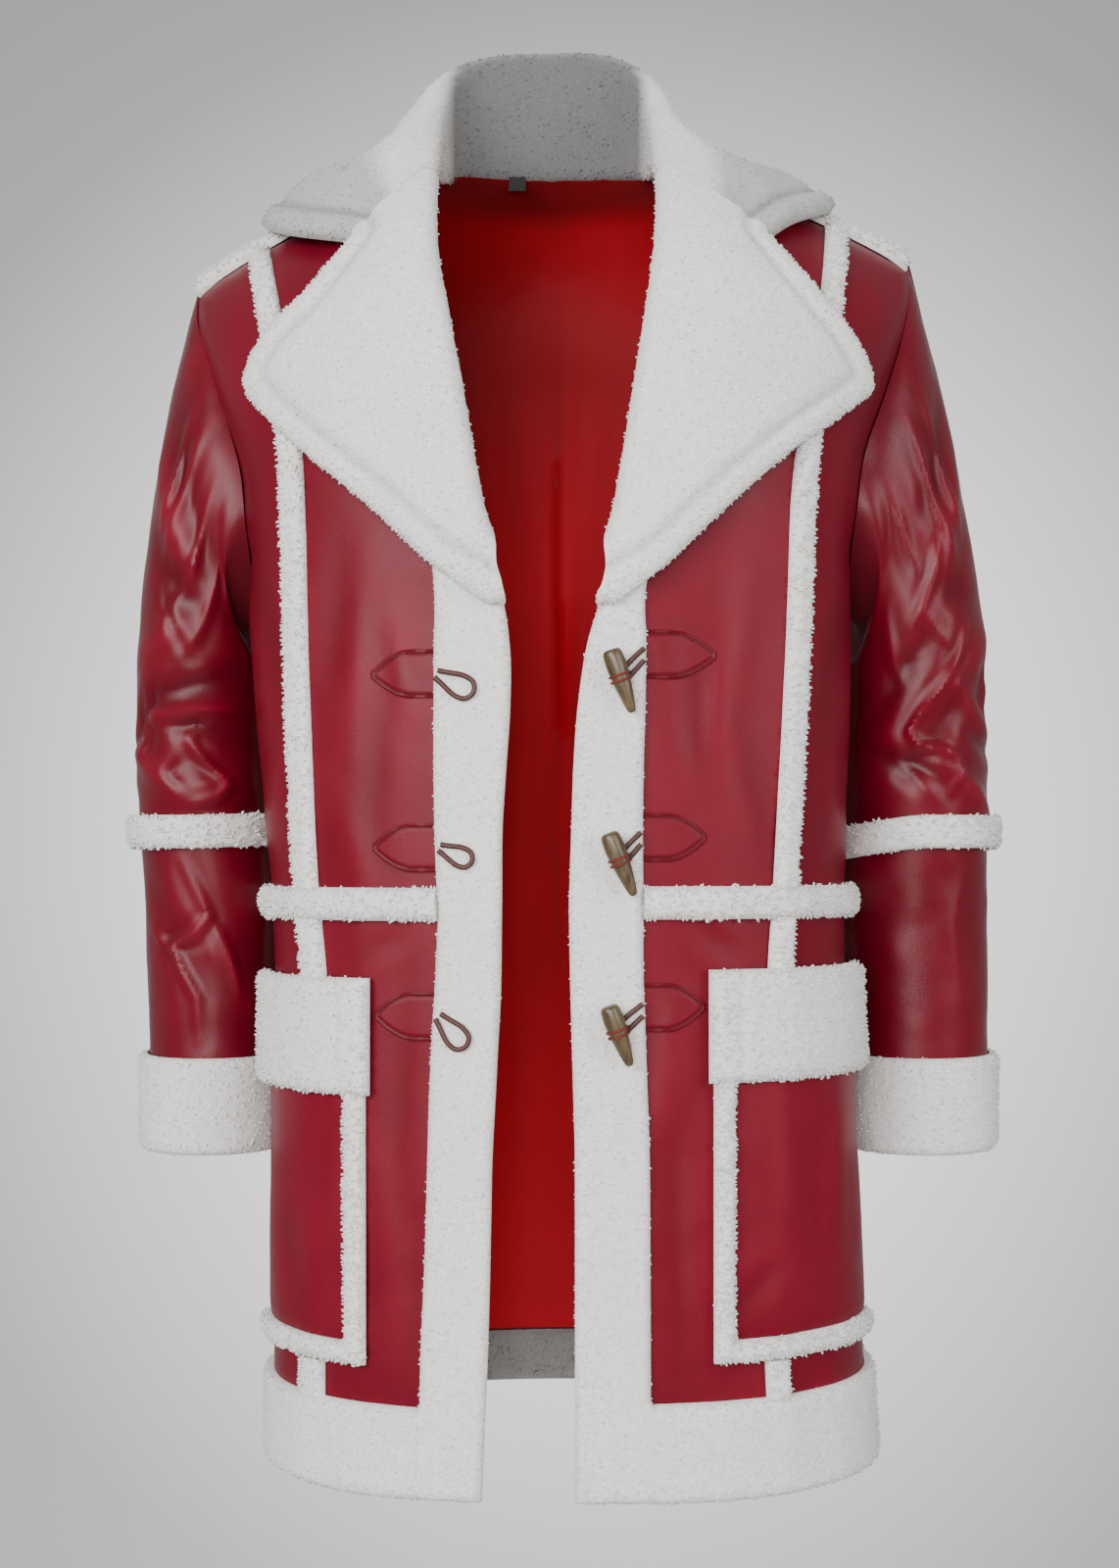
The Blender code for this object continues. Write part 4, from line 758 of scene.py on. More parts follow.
panelFolds = {  # x, z, half length, turn from upright, half width, bow, depth
    -1: ((-0.118, -0.4, 0.085, 4, 0.01, 0.004, -0.0013), (-0.1, -0.345, 0.06, -12, 0.009, 0.006, 0.0012),
         (-0.145, -0.33, 0.09, 8, 0.012, -0.006, -0.0014), (-0.19, -0.33, 0.07, -14, 0.01, 0.006, -0.0015),
         (-0.135, -0.46, 0.05, -20, 0.009, 0.004, 0.001), (-0.102, -0.62, 0.1, 3, 0.009, 0.003, -0.0012),
         (-0.108, -0.73, 0.08, -5, 0.01, -0.003, 0.0012), (-0.19, -0.43, 0.055, 18, 0.009, 0.004, 0.0012),
         (-0.12, -0.53, 0.03, 60, 0.007, 0.004, -0.0009), (-0.205, -0.64, 0.09, 0, 0.012, 0.004, -0.0012)),
    1: ((0.085, -0.380, 0.085, -5, 0.010, 0.004, -0.0013), (0.112, -0.340, 0.075, 9, 0.010, -0.006, 0.0012),
        (0.130, -0.430, 0.060, -12, 0.009, 0.005, -0.0012), (0.180, -0.350, 0.080, 12, 0.011, 0.006, -0.0015),
        (0.070, -0.600, 0.060, 4, 0.009, 0.003, 0.0011), (0.074, -0.720, 0.110, -2, 0.009, 0.003, -0.0013),
        (0.100, -0.525, 0.026, -55, 0.007, 0.004, -0.0010), (0.185, -0.440, 0.050, -16, 0.009, 0.004, 0.0012),
        (0.205, -0.650, 0.090, 2, 0.012, -0.004, -0.0012)),
    "back": ((-0.14, -0.3, 0.11, 16, 0.014, 0.01, -0.0018), (0.135, -0.29, 0.12, -14, 0.014, -0.01, -0.0018),
             (0.02, -0.36, 0.11, 3, 0.016, 0.008, 0.0013), (-0.06, -0.43, 0.07, -9, 0.012, 0.006, -0.0014),
             (0.075, -0.44, 0.06, 12, 0.012, -0.005, -0.0014), (-0.09, -0.64, 0.12, 2, 0.016, 0.006, 0.0016),
             (0.065, -0.7, 0.13, -3, 0.016, 0.006, -0.0016), (0.15, -0.62, 0.11, 2, 0.014, 0.004, -0.0013),
             (-0.155, -0.56, 0.05, 24, 0.01, 0.004, -0.0012), (-0.01, -0.18, 0.05, 78, 0.014, 0.01, -0.0012)),
}


def bodyFolds(which):
    # Heights of the folds over one panel
    def height(base):
        x, z = base[..., 0], base[..., 2]
        slow = noise(base, 0.075, 5) * 0.0008 + noise(base, 0.030, 6) * 0.0003
        return softFolds(x, z, panelFolds[which]) + slow
    return height


def makeBody():
    # Fronts and back, each above and below the waist seam
    for which in (-1, 1, "back"):
        name = "back" if which == "back" else "front_" + sideName[which]
        columns = (0, 12) if which == "back" else (0, 8)
        towards = np.array((0, 1, 0) if which == "back" else (which * 0.3, -1, 0))
        for level, rows in (("lower", (0, 12)), ("upper", (12, 25))):
            base = part(which, rows, columns, 0.0058)
            piece, base = leatherPanel(f"leather_{name}_{level}", base, towards, 0, leatherThick,
                                       materials["leather"], bodyFolds(which))
            cloth(piece, base, f"{name}_{level}")


liningFolds = (  # x, z, half length, turn, half width, bow, depth: the pleat, then soft drags
    (-0.003, -0.300, 0.330, 0.4, 0.0035, 0.001, -0.0032), (0.006, -0.300, 0.300, 0.4, 0.0050, 0.001, 0.0016),
    (-0.036, -0.180, 0.120, -5, 0.007, 0.003, -0.0016), (0.034, -0.200, 0.130, 6, 0.008, -0.003, -0.0016),
    (-0.058, -0.420, 0.160, 2, 0.010, 0.004, 0.0016), (0.055, -0.480, 0.150, -2, 0.010, 0.004, -0.0016),
    (-0.030, -0.620, 0.130, 3, 0.009, 0.003, -0.0015), (0.022, -0.700, 0.110, -4, 0.009, 0.003, 0.0014),
    (-0.100, -0.380, 0.180, 6, 0.014, 0.006, -0.0018), (0.100, -0.360, 0.180, -6, 0.014, -0.006, -0.0018))


def makeLining():
    # Satin inside the back, with a pleat, soft drags and gathers under the collar
    base = part("back", (1.34, 24.9), (0.06, 11.94), 0.0068)
    x, z = base[..., 0], base[..., 2]
    gathers = np.sin(x * 900 + 3 * noise(base, 0.02, 3)) * np.clip((z + 0.085) / 0.09, 0, 1) * 0.0007
    height = -softFolds(x, z, liningFolds) - gathers + noise(base, 0.05, 8) * 0.0006
    normal = unitNormals(facing(base, np.array((0, 1, 0)))[0])
    base, height = facing(base, np.array((0, 1, 0)), height)
    inside = base - normal * (0.0042 - np.clip(height, -0.004, 0.0012)[..., None])
    # Three more rows run on up the slope of the last two, under the collar's stand
    onward = (base[-1:] - base[-2:-1]) / np.linalg.norm(base[-1:] - base[-2:-1], axis=-1, keepdims=True)
    more = np.array((0.004, 0.008, 0.012))[:, None, None] * onward
    inside, base = np.concatenate([inside, inside[-1:] + more]), np.concatenate([base, base[-1:] + more])
    normal, height = (np.concatenate([v] + [v[-1:]] * 3) for v in (normal, height))
    z = base[..., 2]
    shade = 0.58 * np.clip((z + 0.26) / 0.16, 0, 1) + 0.30 * np.clip((z - 0.006) / 0.014, 0, 1)
    # fold paints shade in the troughs of the pleat and drags; shade is painted shade, rising towards the top
    # and under the collar's stand
    piece = closedSheet("satin_back", inside + normal * 0.0006, inside, materials["lining"], False,
                        {"fold": -height * 200, "shade": shade})
    cloth(piece, base, "lining_back")


def makeFacing():
    # The shearling turned up inside the back hem, greyed by painted shade
    base, = facing(part("back", (0.02, 1.30), (0.05, 11.95), 0.005), np.array((0, 1, 0)))
    normal = unitNormals(base)
    near = edgeDistance(base, "bt")
    height = 0.0035 * (0.4 + 0.6 * rounded(near, 0.004)) + 0.0005 * noise(base, 0.005, 4)
    inside = base - normal * (0.0024 + height[..., None])
    # inside 0.57 is painted shade on the whole facing and on its tufts
    piece = closedSheet("shearling_facing", base - normal * 0.0024, inside, materials["shearling"], False,
                        {"inside": 0 * near + 0.57})
    keepForPile("Hem", inside[:, ::-1], -normal[:, ::-1], 0.5, 0.57)
    cloth(piece, base, "hem_facing_back")


# Shearling on the body

band = {  # thickness, lumps, lump size and tuft weight of each kind of trim
    "placket": dict(thick=0.0066, lumps=0.0003, lumpSize=0.0045, weight=0.25, edgePile=5),
    "hem": dict(thick=0.0070, lumps=0.0004, lumpSize=0.0050, weight=0.3, edgePile=5),
    "waist": dict(thick=0.0088, lumps=0.0009, lumpSize=0.0062, weight=1.2),
    "strip": dict(thick=0.0066, lumps=0.0010, lumpSize=0.0056, weight=1.2),
}


def seamAcross(height, width=0.0022, depth=0.0012):
    # A shallow trough where the distance in z to a seam is small
    return lambda base, near: -depth * np.exp(-((base[..., 2] - height) / width) ** 2)


def placketNear(hemTop):
    # Distance to the placket's free edges: below the hem band's top its seam side is joined to the band
    def near(base):
        columns = base[:, [0, -1]]
        front, seam = (0, -1) if np.abs(columns[0, 0, 0]) < np.abs(columns[0, 1, 0]) else (-1, 0)
        above = base[base[:, seam, 2] > hemTop + 0.003, seam]
        found = [lineDistance(base, base[:, front]), lineDistance(base, base[0]), lineDistance(base, above)]
        return np.min(found, axis=0)
    return near


def makeTrim():
    # Plackets, hem band, waist strip and vertical strips, each a slab on its part of the body
    for side in (-1, 1):
        which, towards = sideName[side], np.array((side * 0.2, -1, 0))
        z = grids[side][:, 0, 2]
        piece, base = fleece("shearling_placket_" + which, part(side, (-0.02, 18.45), (-0.03, 0.995), 0.0032),
                             towards, group="Placket", radius=0.005, grooves=seamAcross(z[12]),
                             seed=11 + side, nearTo=placketNear(z[2]), **band["placket"])
        cloth(piece, base, "placket_" + which)
        piece, base = fleece("shearling_hem_" + which, part(side, (-0.05, 2.0), (0.985, 7.99), 0.0036),
                             towards, group="Hem", edges="bt", radius=0.006, seed=13 + side, **band["hem"])
        cloth(piece, base, "hem_front_" + which)
        piece, base = fleece("shearling_waist_" + which, part(side, (10.98, 13.02), (1.0, 7.99), 0.0030),
                             towards, group="Waist", edges="bt", seed=15 + side, **band["waist"])
        cloth(piece, base, "waist_front_" + which)
        for key, rows in (("upper", (12.97, 23.98)), ("lower", (10.0, 11.02)), ("foot", (1.97, 3.02))):
            piece, base = fleece(f"shearling_strip_{which}_{key}", part(side, rows, (4.07, 4.93), 0.0026),
                                 towards, group="Strip", edges="lr", radius=0.0062, seed=17 + side,
                                 **band["strip"])
            cloth(piece, base, f"strip_{which}_{key}")
    towards = np.array((0, 1, 0))
    piece, base = fleece("shearling_hem_back", part("back", (-0.05, 2.0), (0.015, 11.985), 0.0042), towards,
                         group="Hem", edges="bt", radius=0.006, seed=21, **band["hem"])
    cloth(piece, base, "hem_back")
    piece, base = fleece("shearling_waist_back", part("back", (10.98, 13.02), (0.015, 11.985), 0.0036),
                         towards, group="Waist", edges="bt", seed=23, **band["waist"])
    cloth(piece, base, "waist_back")


def rimGrid(side):
    # L-shaped strip: across runs from the outer line to the inner one, along runs down and then back
    s = np.linspace(0.08, 0.98, 8)[None]
    t = np.linspace(0, 1, 56)[:, None]
    rowsDown, columnsDown = 8.3 + (3 + s - 8.3) * t, 2 + s + 0 * t
    t = np.linspace(0, 1, 34)[1:, None]
    rowsAlong, columnsAlong = 3 + s + 0 * t, (2 + s) + (7.02 - 2 - s) * t
    return readAt(grids[side], np.concatenate([rowsDown, rowsAlong]),
                  np.concatenate([columnsDown, columnsAlong]))


bagFolds = {  # x, z, half length, turn, half width, bow, depth
    -1: ((-0.150, -0.700, 0.060, 10, 0.010, 0.005, 0.0012),
         (-0.175, -0.730, 0.050, -12, 0.009, 0.004, -0.0012)),
    1: ((0.150, -0.700, 0.070, -6, 0.010, 0.005, 0.0013), (0.180, -0.680, 0.075, 4, 0.008, 0.003, 0.0014),
        (0.125, -0.745, 0.030, 40, 0.008, 0.003, -0.0010)),
}


def makePockets():
    # Leather bag, its L-shaped rim and the flap over both
    for side in (-1, 1):
        which, towards = sideName[side], np.array((side * 0.6, -1, 0))
        bagBase = part(side, (4, 9.6), (2.98, 7.0), 0.0050)
        full = lambda base: (softFolds(base[..., 0], base[..., 2], bagFolds[side]) + 0.0015
                             * rounded(edgeDistance(base), 0.03) + noise(base, 0.03, 9) * 0.0004)
        piece, base = leatherPanel("leather_bag_" + which, bagBase, towards, 0.0024, leatherThick,
                                   materials["leather"], full)
        cloth(piece, base, "pocket_bag_" + which)
        piece, base = fleece("shearling_rim_" + which, rimGrid(side), towards, group="Pocket", lift=0.0012,
                             edges="lrt", thick=0.0070, lumps=0.0010, lumpSize=0.0056, weight=1.2,
                             radius=0.0062, seed=31 + side)
        cloth(piece, base, "pocket_trim_" + which)
        inner = lambda base, near: -0.0016 * np.exp(-((np.abs(base[..., 0]) - coat["pocketEdge"][side]
                                                       - 0.0165) / 0.0018) ** 2)
        top = (7.97, 10.16) if side < 0 else (7.97, 10.02)
        piece, base = fleece("shearling_flap_" + which, part(side, top, (1.94, 7.12), 0.0032), towards,
                             group="Pocket", lift=0.0036, thick=0.0088, lumps=0.0005, lumpSize=0.0060,
                             weight=0.5, radius=0.0080, edgePile=3, grooves=inner, seed=35 + side)
        cloth(piece, base, "pocket_flap_" + which)


# Toggle patches

patch = {
    "heights": ((-0.355, -0.343), (-0.465, -0.4585), (-0.572, -0.566)),
    "length": {-1: (0.041, 0.041, 0.038), 1: (0.045, 0.0405, 0.0385)},
    "half": 0.0155, "thick": 0.0013, "stitchIn": 0.0026, "stitchPitch": 0.0030,
}


def onFront(x, z, lift):
    # Point of the front's surface over x, z, moved out along its normal by lift
    y = depthAt(x, z, "front")
    slopeX = (depthAt(x + 0.001, z, "front") - depthAt(x - 0.001, z, "front")) / 0.002
    slopeZ = (depthAt(x, z + 0.001, "front") - depthAt(x, z - 0.001, "front")) / 0.002
    out = np.stack([slopeX, -np.ones_like(y), slopeZ], -1)
    out /= np.linalg.norm(out, axis=-1, keepdims=True)
    return np.stack([x, y, z], -1) + out * (np.asarray(lift)[..., None] if np.ndim(lift) else lift), out


def stitches(points, out, pitch, length, width):
    # Short spindles along a line: four-sided, pointed at both ends, half sunk in the cloth
    run = arc(points, 0)
    places = np.arange(pitch / 2, run[-1] - pitch / 4, pitch)
    ends = [np.stack([np.interp(places + k * length / 2, run, points[:, i]) for i in range(3)], -1)
            for k in (-1, -0.5, 0.5, 1)]
    up = np.stack([np.interp(places, run, out[:, i]) for i in range(3)], -1)
    across = np.cross(up, ends[3] - ends[0])
    across /= np.linalg.norm(across, axis=1, keepdims=True)
    ring = np.stack([across, up, -across, -up], 1) * width / 2
    body = np.concatenate([ends[0][:, None], ends[1][:, None] + ring, ends[2][:, None] + ring,
                           ends[3][:, None]], 1)
    k = np.arange(4)
    n = (k + 1) % 4
    face = np.concatenate([np.stack([0 * k, 1 + n, 1 + k], 1), np.stack([1 + k, 1 + n, 5 + n], 1),
                           np.stack([1 + k, 5 + n, 5 + k], 1), np.stack([5 + k, 5 + n, 9 + 0 * k], 1)])
    return body.reshape(-1, 3), (np.arange(len(places))[:, None, None] * 10 + face[None]).reshape(-1, 3)


def joinParts(parts):
    # Several arrays of points and faces as one, the faces' numbers moved on
    shift = np.cumsum([0] + [len(p) for p, _ in parts[:-1]])
    return (np.concatenate([p for p, _ in parts]), np.concatenate([f + s for (_, f), s in zip(parts, shift)]))


def makePatches():
    # Bullet-shaped patches with a sunk line of stitches along the rim
    lines = []
    for side in (-1, 1):
        for number, heights in enumerate(patch["heights"]):
            z0 = heights[0 if side < 0 else 1]
            start = lookUp(coat["placketSeam"][side], z0) - 0.002
            length = patch["length"][side][number] + 0.002
            share, across = np.meshgrid(np.linspace(0, 1, 38), np.linspace(-1, 1, 26))
            narrow = lambda s: patch["half"] * (1 - (np.maximum(0, s - 0.42) / 0.58) ** 1.7 * 0.86)
            x, z = side * (start + length * share), z0 + across * narrow(share)
            edge = edgeDistance(np.stack([x, 0 * x, z], -1), "rbt")
            lift = 0.0007 + patch["thick"] * (0.35 + 0.65 * rounded(edge, 0.0016))
            fold = softFolds(x, z, panelFolds[side]) + noise(np.stack([x, x, z], -1), 0.01, 12) * 0.0001
            sewn = np.exp(-((edge - patch["stitchIn"]) / 0.0009) ** 2)
            lift = lift - 0.0006 * sewn + fold
            outer, normal = onFront(x, z, lift)
            inner = outer - normal * patch["thick"]
            shadow = -0.9 * sewn - 0.8 * np.exp(-(edge / 0.0009) ** 2)
            outer, inner, shadow = facing(outer, normal.mean((0, 1)), inner, shadow)
            name = f"{sideName[side]}_{number + 1}"
            piece = closedSheet("patch_" + name, outer, inner, materials["leather"], False,
                                {"fold": shadow})
            cloth(piece, outer, "toggle_patch_" + name)
            s = np.concatenate([np.linspace(0.02, 0.93, 40), np.full(6, 0.93), np.linspace(0.93, 0.02, 40)])
            k = np.concatenate([np.full(40, 1.0), np.linspace(1, -1, 6), np.full(40, -1.0)])
            half = narrow(s) - patch["stitchIn"]
            x, z = side * (start + length * s), z0 + k * half
            lift = 0.0007 + patch["thick"] - 0.0004 + softFolds(x, z, panelFolds[side])
            lines.append(stitches(*onFront(x, z, lift), patch["stitchPitch"], 0.0023, 0.0007))
    points, faces = joinParts(lines)
    made = addMesh("patch_stitches", points, faces, materials["stitch"], None, None, 0)


# Sleeves

sleeves = {
    "rows": (  # z, middle x and half width on the right, both on the left, middle y, half depth
        (-0.700, 0.2520, 0.0480, 0.2608, 0.0527, 0.050, 0.064),
        (-0.682, 0.2520, 0.0480, 0.2608, 0.0527, 0.050, 0.064),
        (-0.600, 0.2522, 0.0483, 0.2608, 0.0527, 0.049, 0.065),
        (-0.520, 0.2532, 0.0488, 0.2592, 0.0533, 0.046, 0.067),
        (-0.453, 0.2565, 0.0485, 0.2582, 0.0533, 0.041, 0.069),
        (-0.400, 0.2595, 0.0475, 0.2572, 0.0528, 0.037, 0.071),
        (-0.335, 0.2580, 0.0465, 0.2560, 0.0505, 0.032, 0.074)),
    "power": 2.2, "biceps": -0.335, "elbow": -0.453, "elbowHalf": 0.0115, "cuff": (-0.613, -0.682),
    "round": 136, "step": 0.0029, "degree": 0.00101, "bandLean": {-1: 0.002, 1: -0.009},
    "large": {  # angle (0 outside, 90 front), height, rise a degree, reach round, half thickness, depth
        -1: ((80, -0.195, -0.0016, 60, 0.014, -0.0040), (70, -0.232, -0.0014, 60, 0.013, 0.0040),
             (75, -0.275, -0.0010, 60, 0.013, -0.0034), (70, -0.318, 0.0004, 70, 0.014, 0.0044),
             (95, -0.352, 0.0002, 75, 0.009, -0.0050), (95, -0.369, 0.0001, 80, 0.006, 0.0040),
             (110, -0.383, -0.0002, 55, 0.008, -0.0050), (50, -0.405, -0.0006, 50, 0.010, 0.0050),
             (120, -0.418, 0.0002, 55, 0.009, 0.0040), (70, -0.520, -0.0010, 50, 0.012, -0.0030),
             (110, -0.545, -0.0012, 50, 0.012, 0.0030), (40, -0.375, 0.0010, 35, 0.008, -0.0060),
             (-60, -0.370, 0.0004, 65, 0.011, -0.0050), (-50, -0.405, -0.0004, 65, 0.011, 0.0045)),
        1: ((70, -0.190, -0.0018, 60, 0.013, -0.0040), (62, -0.235, -0.0016, 55, 0.012, 0.0044),
            (60, -0.290, 0.0002, 60, 0.013, -0.0040), (50, -0.335, -0.0008, 60, 0.012, 0.0052),
            (110, -0.345, -0.0012, 45, 0.010, -0.0044), (80, -0.376, -0.0013, 50, 0.009, -0.0044),
            (110, -0.405, 0.0003, 50, 0.009, -0.0050), (45, -0.372, 0.0008, 55, 0.009, 0.0040),
            (30, -0.392, 0.0002, 40, 0.007, -0.0046), (50, -0.425, 0.0006, 60, 0.009, 0.0050),
            (-60, -0.365, 0.0004, 65, 0.011, -0.0050), (-50, -0.400, -0.0004, 65, 0.011, 0.0045))},
    "creases": {  # points as angle and height, half width, height of the ridge
        -1: ((((150, -0.366), (120, -0.369), (90, -0.371), (60, -0.3705), (46, -0.367)), 0.0034, 0.0020),
             (((109, -0.380), (97, -0.383), (91, -0.388), (98, -0.399), (113, -0.412), (123, -0.420),
               (111, -0.429), (91, -0.434)), 0.0032, 0.0026),
             (((52, -0.352), (44, -0.370), (52, -0.386), (44, -0.402)), 0.0034, 0.0024),
             (((86, -0.404), (75, -0.413), (88, -0.424)), 0.0036, -0.0016),
             (((81, -0.473), (92, -0.498), (97, -0.512), (87, -0.5255), (68, -0.534), (75, -0.548),
               (87, -0.570), (88, -0.600)), 0.0036, 0.0026),
             (((98, -0.514), (110, -0.535), (117, -0.553), (121, -0.568)), 0.0034, 0.0018),
             (((44, -0.522), (57, -0.531), (68, -0.5365)), 0.0034, 0.0020),
             (((110, -0.150), (98, -0.185), (84, -0.228), (66, -0.262)), 0.0050, 0.0026),
             (((88, -0.140), (80, -0.175), (72, -0.215), (60, -0.246)), 0.0042, 0.0020),
             (((126, -0.205), (112, -0.240), (92, -0.285), (72, -0.306)), 0.0048, 0.0026),
             (((134, -0.262), (118, -0.290), (100, -0.316), (84, -0.334)), 0.0044, 0.0022),
             (((66, -0.285), (80, -0.312), (94, -0.338)), 0.0040, -0.0016)),
        1: ((((57, -0.307), (66, -0.329), (81, -0.351), (96, -0.371), (103, -0.384), (97, -0.393),
              (80, -0.396), (68, -0.402), (66, -0.413), (75, -0.426)), 0.0030, 0.0030),
            (((82, -0.248), (87, -0.276), (97, -0.300), (104, -0.314)), 0.0032, 0.0024),
            (((96, -0.300), (84, -0.318), (74, -0.322)), 0.0034, 0.0018),
            (((32, -0.330), (26, -0.352), (34, -0.372)), 0.0040, 0.0024),
            (((116, -0.402), (98, -0.414), (84, -0.432)), 0.0036, 0.0016),
            (((108, -0.140), (96, -0.180), (82, -0.225), (66, -0.262)), 0.0046, 0.0026),
            (((84, -0.130), (74, -0.170), (64, -0.214), (52, -0.246)), 0.0040, 0.0020),
            (((128, -0.215), (114, -0.250), (100, -0.275)), 0.0046, 0.0024),
            (((128, -0.300), (118, -0.330), (108, -0.352)), 0.0042, 0.0020),
            (((60, -0.480), (74, -0.520), (66, -0.570)), 0.0070, 0.0010))},
}


def sleeveFolds(side, degrees, z):
    # A large fold climbs by its rise for each degree from its middle; across it is a bell over the true
    # distance, round the sleeve a squared cosine. Creases follow their points and, fainter, the back
    total = np.zeros(np.broadcast(degrees, z).shape)
    for angle, height, rise, reach, thick, depth in sleeves["large"][side]:
        turn = (degrees - angle + 180) % 360 - 180
        away = (z - height - rise * turn) / (thick * math.hypot(1, rise / sleeves["degree"]))
        fade = np.where(np.abs(turn) < reach, np.cos(np.pi / 2 * np.clip(turn / reach, -1, 1)) ** 2, 0)
        total += 0.62 * depth * fade * (np.exp(-np.where(away > 0, 1.5, 1.0) * away ** 2)
                                 - 0.25 * np.exp(-(np.abs(away) - 1.8) ** 2))
    flat = (np.broadcast_to((degrees + 180) % 360 - 180, total.shape) * sleeves["degree"])
    table = [([(a * sleeves["degree"], b) for a, b in line], half * 0.85, depth * 0.9)
             for line, half, depth in sleeves["creases"][side]]
    behind = [([((-a + 14) * sleeves["degree"], b + 0.012) for a, b in line], half * 1.3, depth * 0.9)
              for line, half, depth in sleeves["creases"][-side]]
    return total + pathFolds(flat, z + 0 * flat, table + behind)


def sleeveSection(side, degrees, z, folds=True):
    # Superellipse at each height; degrees and z are a row of angles and a column of heights
    table = np.array(sleeves["rows"])
    first = 1 if side < 0 else 3
    middle, across, middleY, deep = (np.interp(z, table[:, 0], table[:, n]) for n in (first, first + 1, 5, 6))
    c, s = np.cos(np.radians(degrees)), np.sin(np.radians(degrees))
    power = 2 / sleeves["power"]
    lift = sleeveFolds(side, degrees, z) if folds else 0
    outward, forward = np.sign(c) * np.abs(c) ** power, np.sign(s) * np.abs(s) ** power
    x = side * (middle + (across + lift * (1 - np.maximum(0, -c))) * outward)
    return np.stack([x, middleY - (deep + lift) * forward, z + 0 * x], -1)


def armholeLoop(side, count):
    # Closed smooth curve through the armhole's points: down the front and up the back
    front, back = grids[side], grids["back"]
    loop = np.concatenate([front[25:17:-1, 8], back[19:25, 0 if side < 0 else 12]])
    padded = np.concatenate([loop[-2:], loop, loop[:3]])
    places = np.arange(count) * len(loop) / count + 2
    return smoothAlong(padded, places, 0)


def makeSleeves():
    # Rings from the armhole down to the cuff, with the elbow band and the cuff as round slabs
    count = sleeves["round"]
    degrees = (np.arange(count) * 360.0 / count)[None]
    turn = np.radians(degrees[0])
    for side in (-1, 1):
        which = sideName[side]
        start = armholeLoop(side, count)
        start[:, 0] += side * 0.0004
        top = sleeves["biceps"]
        end = sleeveSection(side, degrees, np.array([[top]]), False)[0]
        leave = np.stack([side * (0.075 - 0.030 * np.cos(turn)), -0.02 * np.sin(turn),
                          -0.055 - 0.085 * np.maximum(0, np.cos(turn))], -1)
        arrive = np.stack([0 * turn, 0.02 + 0 * turn, -0.10 - 0.10 * np.cos(turn)], -1)
        t = np.linspace(0, 1, 50)[:-1, None, None]
        cap = ((2 * t ** 3 - 3 * t ** 2 + 1) * start + (t ** 3 - 2 * t ** 2 + t) * leave
               + (3 * t ** 2 - 2 * t ** 3) * end + (t ** 3 - t ** 2) * arrive)
        fade = np.clip(t[..., 0] * 3 - 0.35, 0, 1)
        lift = sleeveFolds(side, degrees + 0 * cap[..., 2], cap[..., 2]) * fade
        cap[..., 1] -= np.sin(turn) * lift
        cap[..., 0] += side * np.maximum(0, np.cos(turn)) * lift
        z = np.arange(top, sleeves["elbow"], -sleeves["step"])[:, None]
        upper = np.concatenate([cap, sleeveSection(side, degrees, z)])
        z = np.arange(sleeves["elbow"], sleeves["cuff"][1] + 0.003, -sleeves["step"])[:, None]
        lower = sleeveSection(side, degrees, z)
        hidden = np.clip((-np.cos(turn) - 0.80) / 0.15, 0, 1)[None]
        for level, rings in (("upper", upper), ("lower", lower)):
            rings = outwards(rings)
            fold = sleeveFolds(side, degrees + 0 * rings[..., 2], rings[..., 2])
            fine = noise(rings, 0.018, 31 + side) * 0.0005 + noise(rings, 0.05, 41) * 0.0008
            outer = rings + unitNormals(rings, True) * fine[..., None]
            inner = outer - unitNormals(outer, True) * leatherThick
            # fold carries the folds' heights and the fine relief, which the leather paints as shade in the
            # troughs
            piece = closedSheet(f"leather_sleeve_{which}_{level}", outer, inner, materials["sleeve"], True,
                                {"fold": (fold + fine) * 90, "hidden": hidden + 0 * fold})
            cloth(piece, rings, f"sleeve_{which}_{level}", wrap=True)
        half = sleeves["elbowHalf"]
        z = np.linspace(sleeves["elbow"] + half, sleeves["elbow"] - half, 11)[:, None]
        ring = grown(sleeveSection(side, degrees, z, True), 0.0018)
        ring[..., 2] += sleeves["bandLean"][side] * np.maximum(0, -np.cos(turn)) ** 1.5
        tube(f"shearling_elbow_{which}", ring, 0.0066, "Elbow", f"elbow_band_{which}", 51 + side,
             lumps=0.0009, lumpSize=0.0056, weight=1.2, radius=0.0064)
        z = np.arange(sleeves["cuff"][0], sleeves["cuff"][1] - 0.001, -0.0034)[:, None]
        ring = grown(sleeveSection(side, degrees, z, False), 0.0014)
        tube(f"shearling_cuff_{which}", ring, 0.0062, "Cuff", f"cuff_{which}", 55 + side,
             lumps=0.0004, lumpSize=0.0045, weight=0.4, radius=0.005)


def outwards(rings):
    # The rings with their columns in the order that makes the normals look away from the axis
    middle = rings.mean(1, keepdims=True)
    if (unitNormals(rings, True) * (rings - middle)).sum(-1).mean() < 0:
        return rings[::-1]
    return rings


def grown(rings, by):
    # Each ring moved out from its middle, level with the floor
    away = rings - rings.mean(1, keepdims=True)
    away[..., 2] = 0
    return rings + away / np.linalg.norm(away, axis=-1, keepdims=True) * by


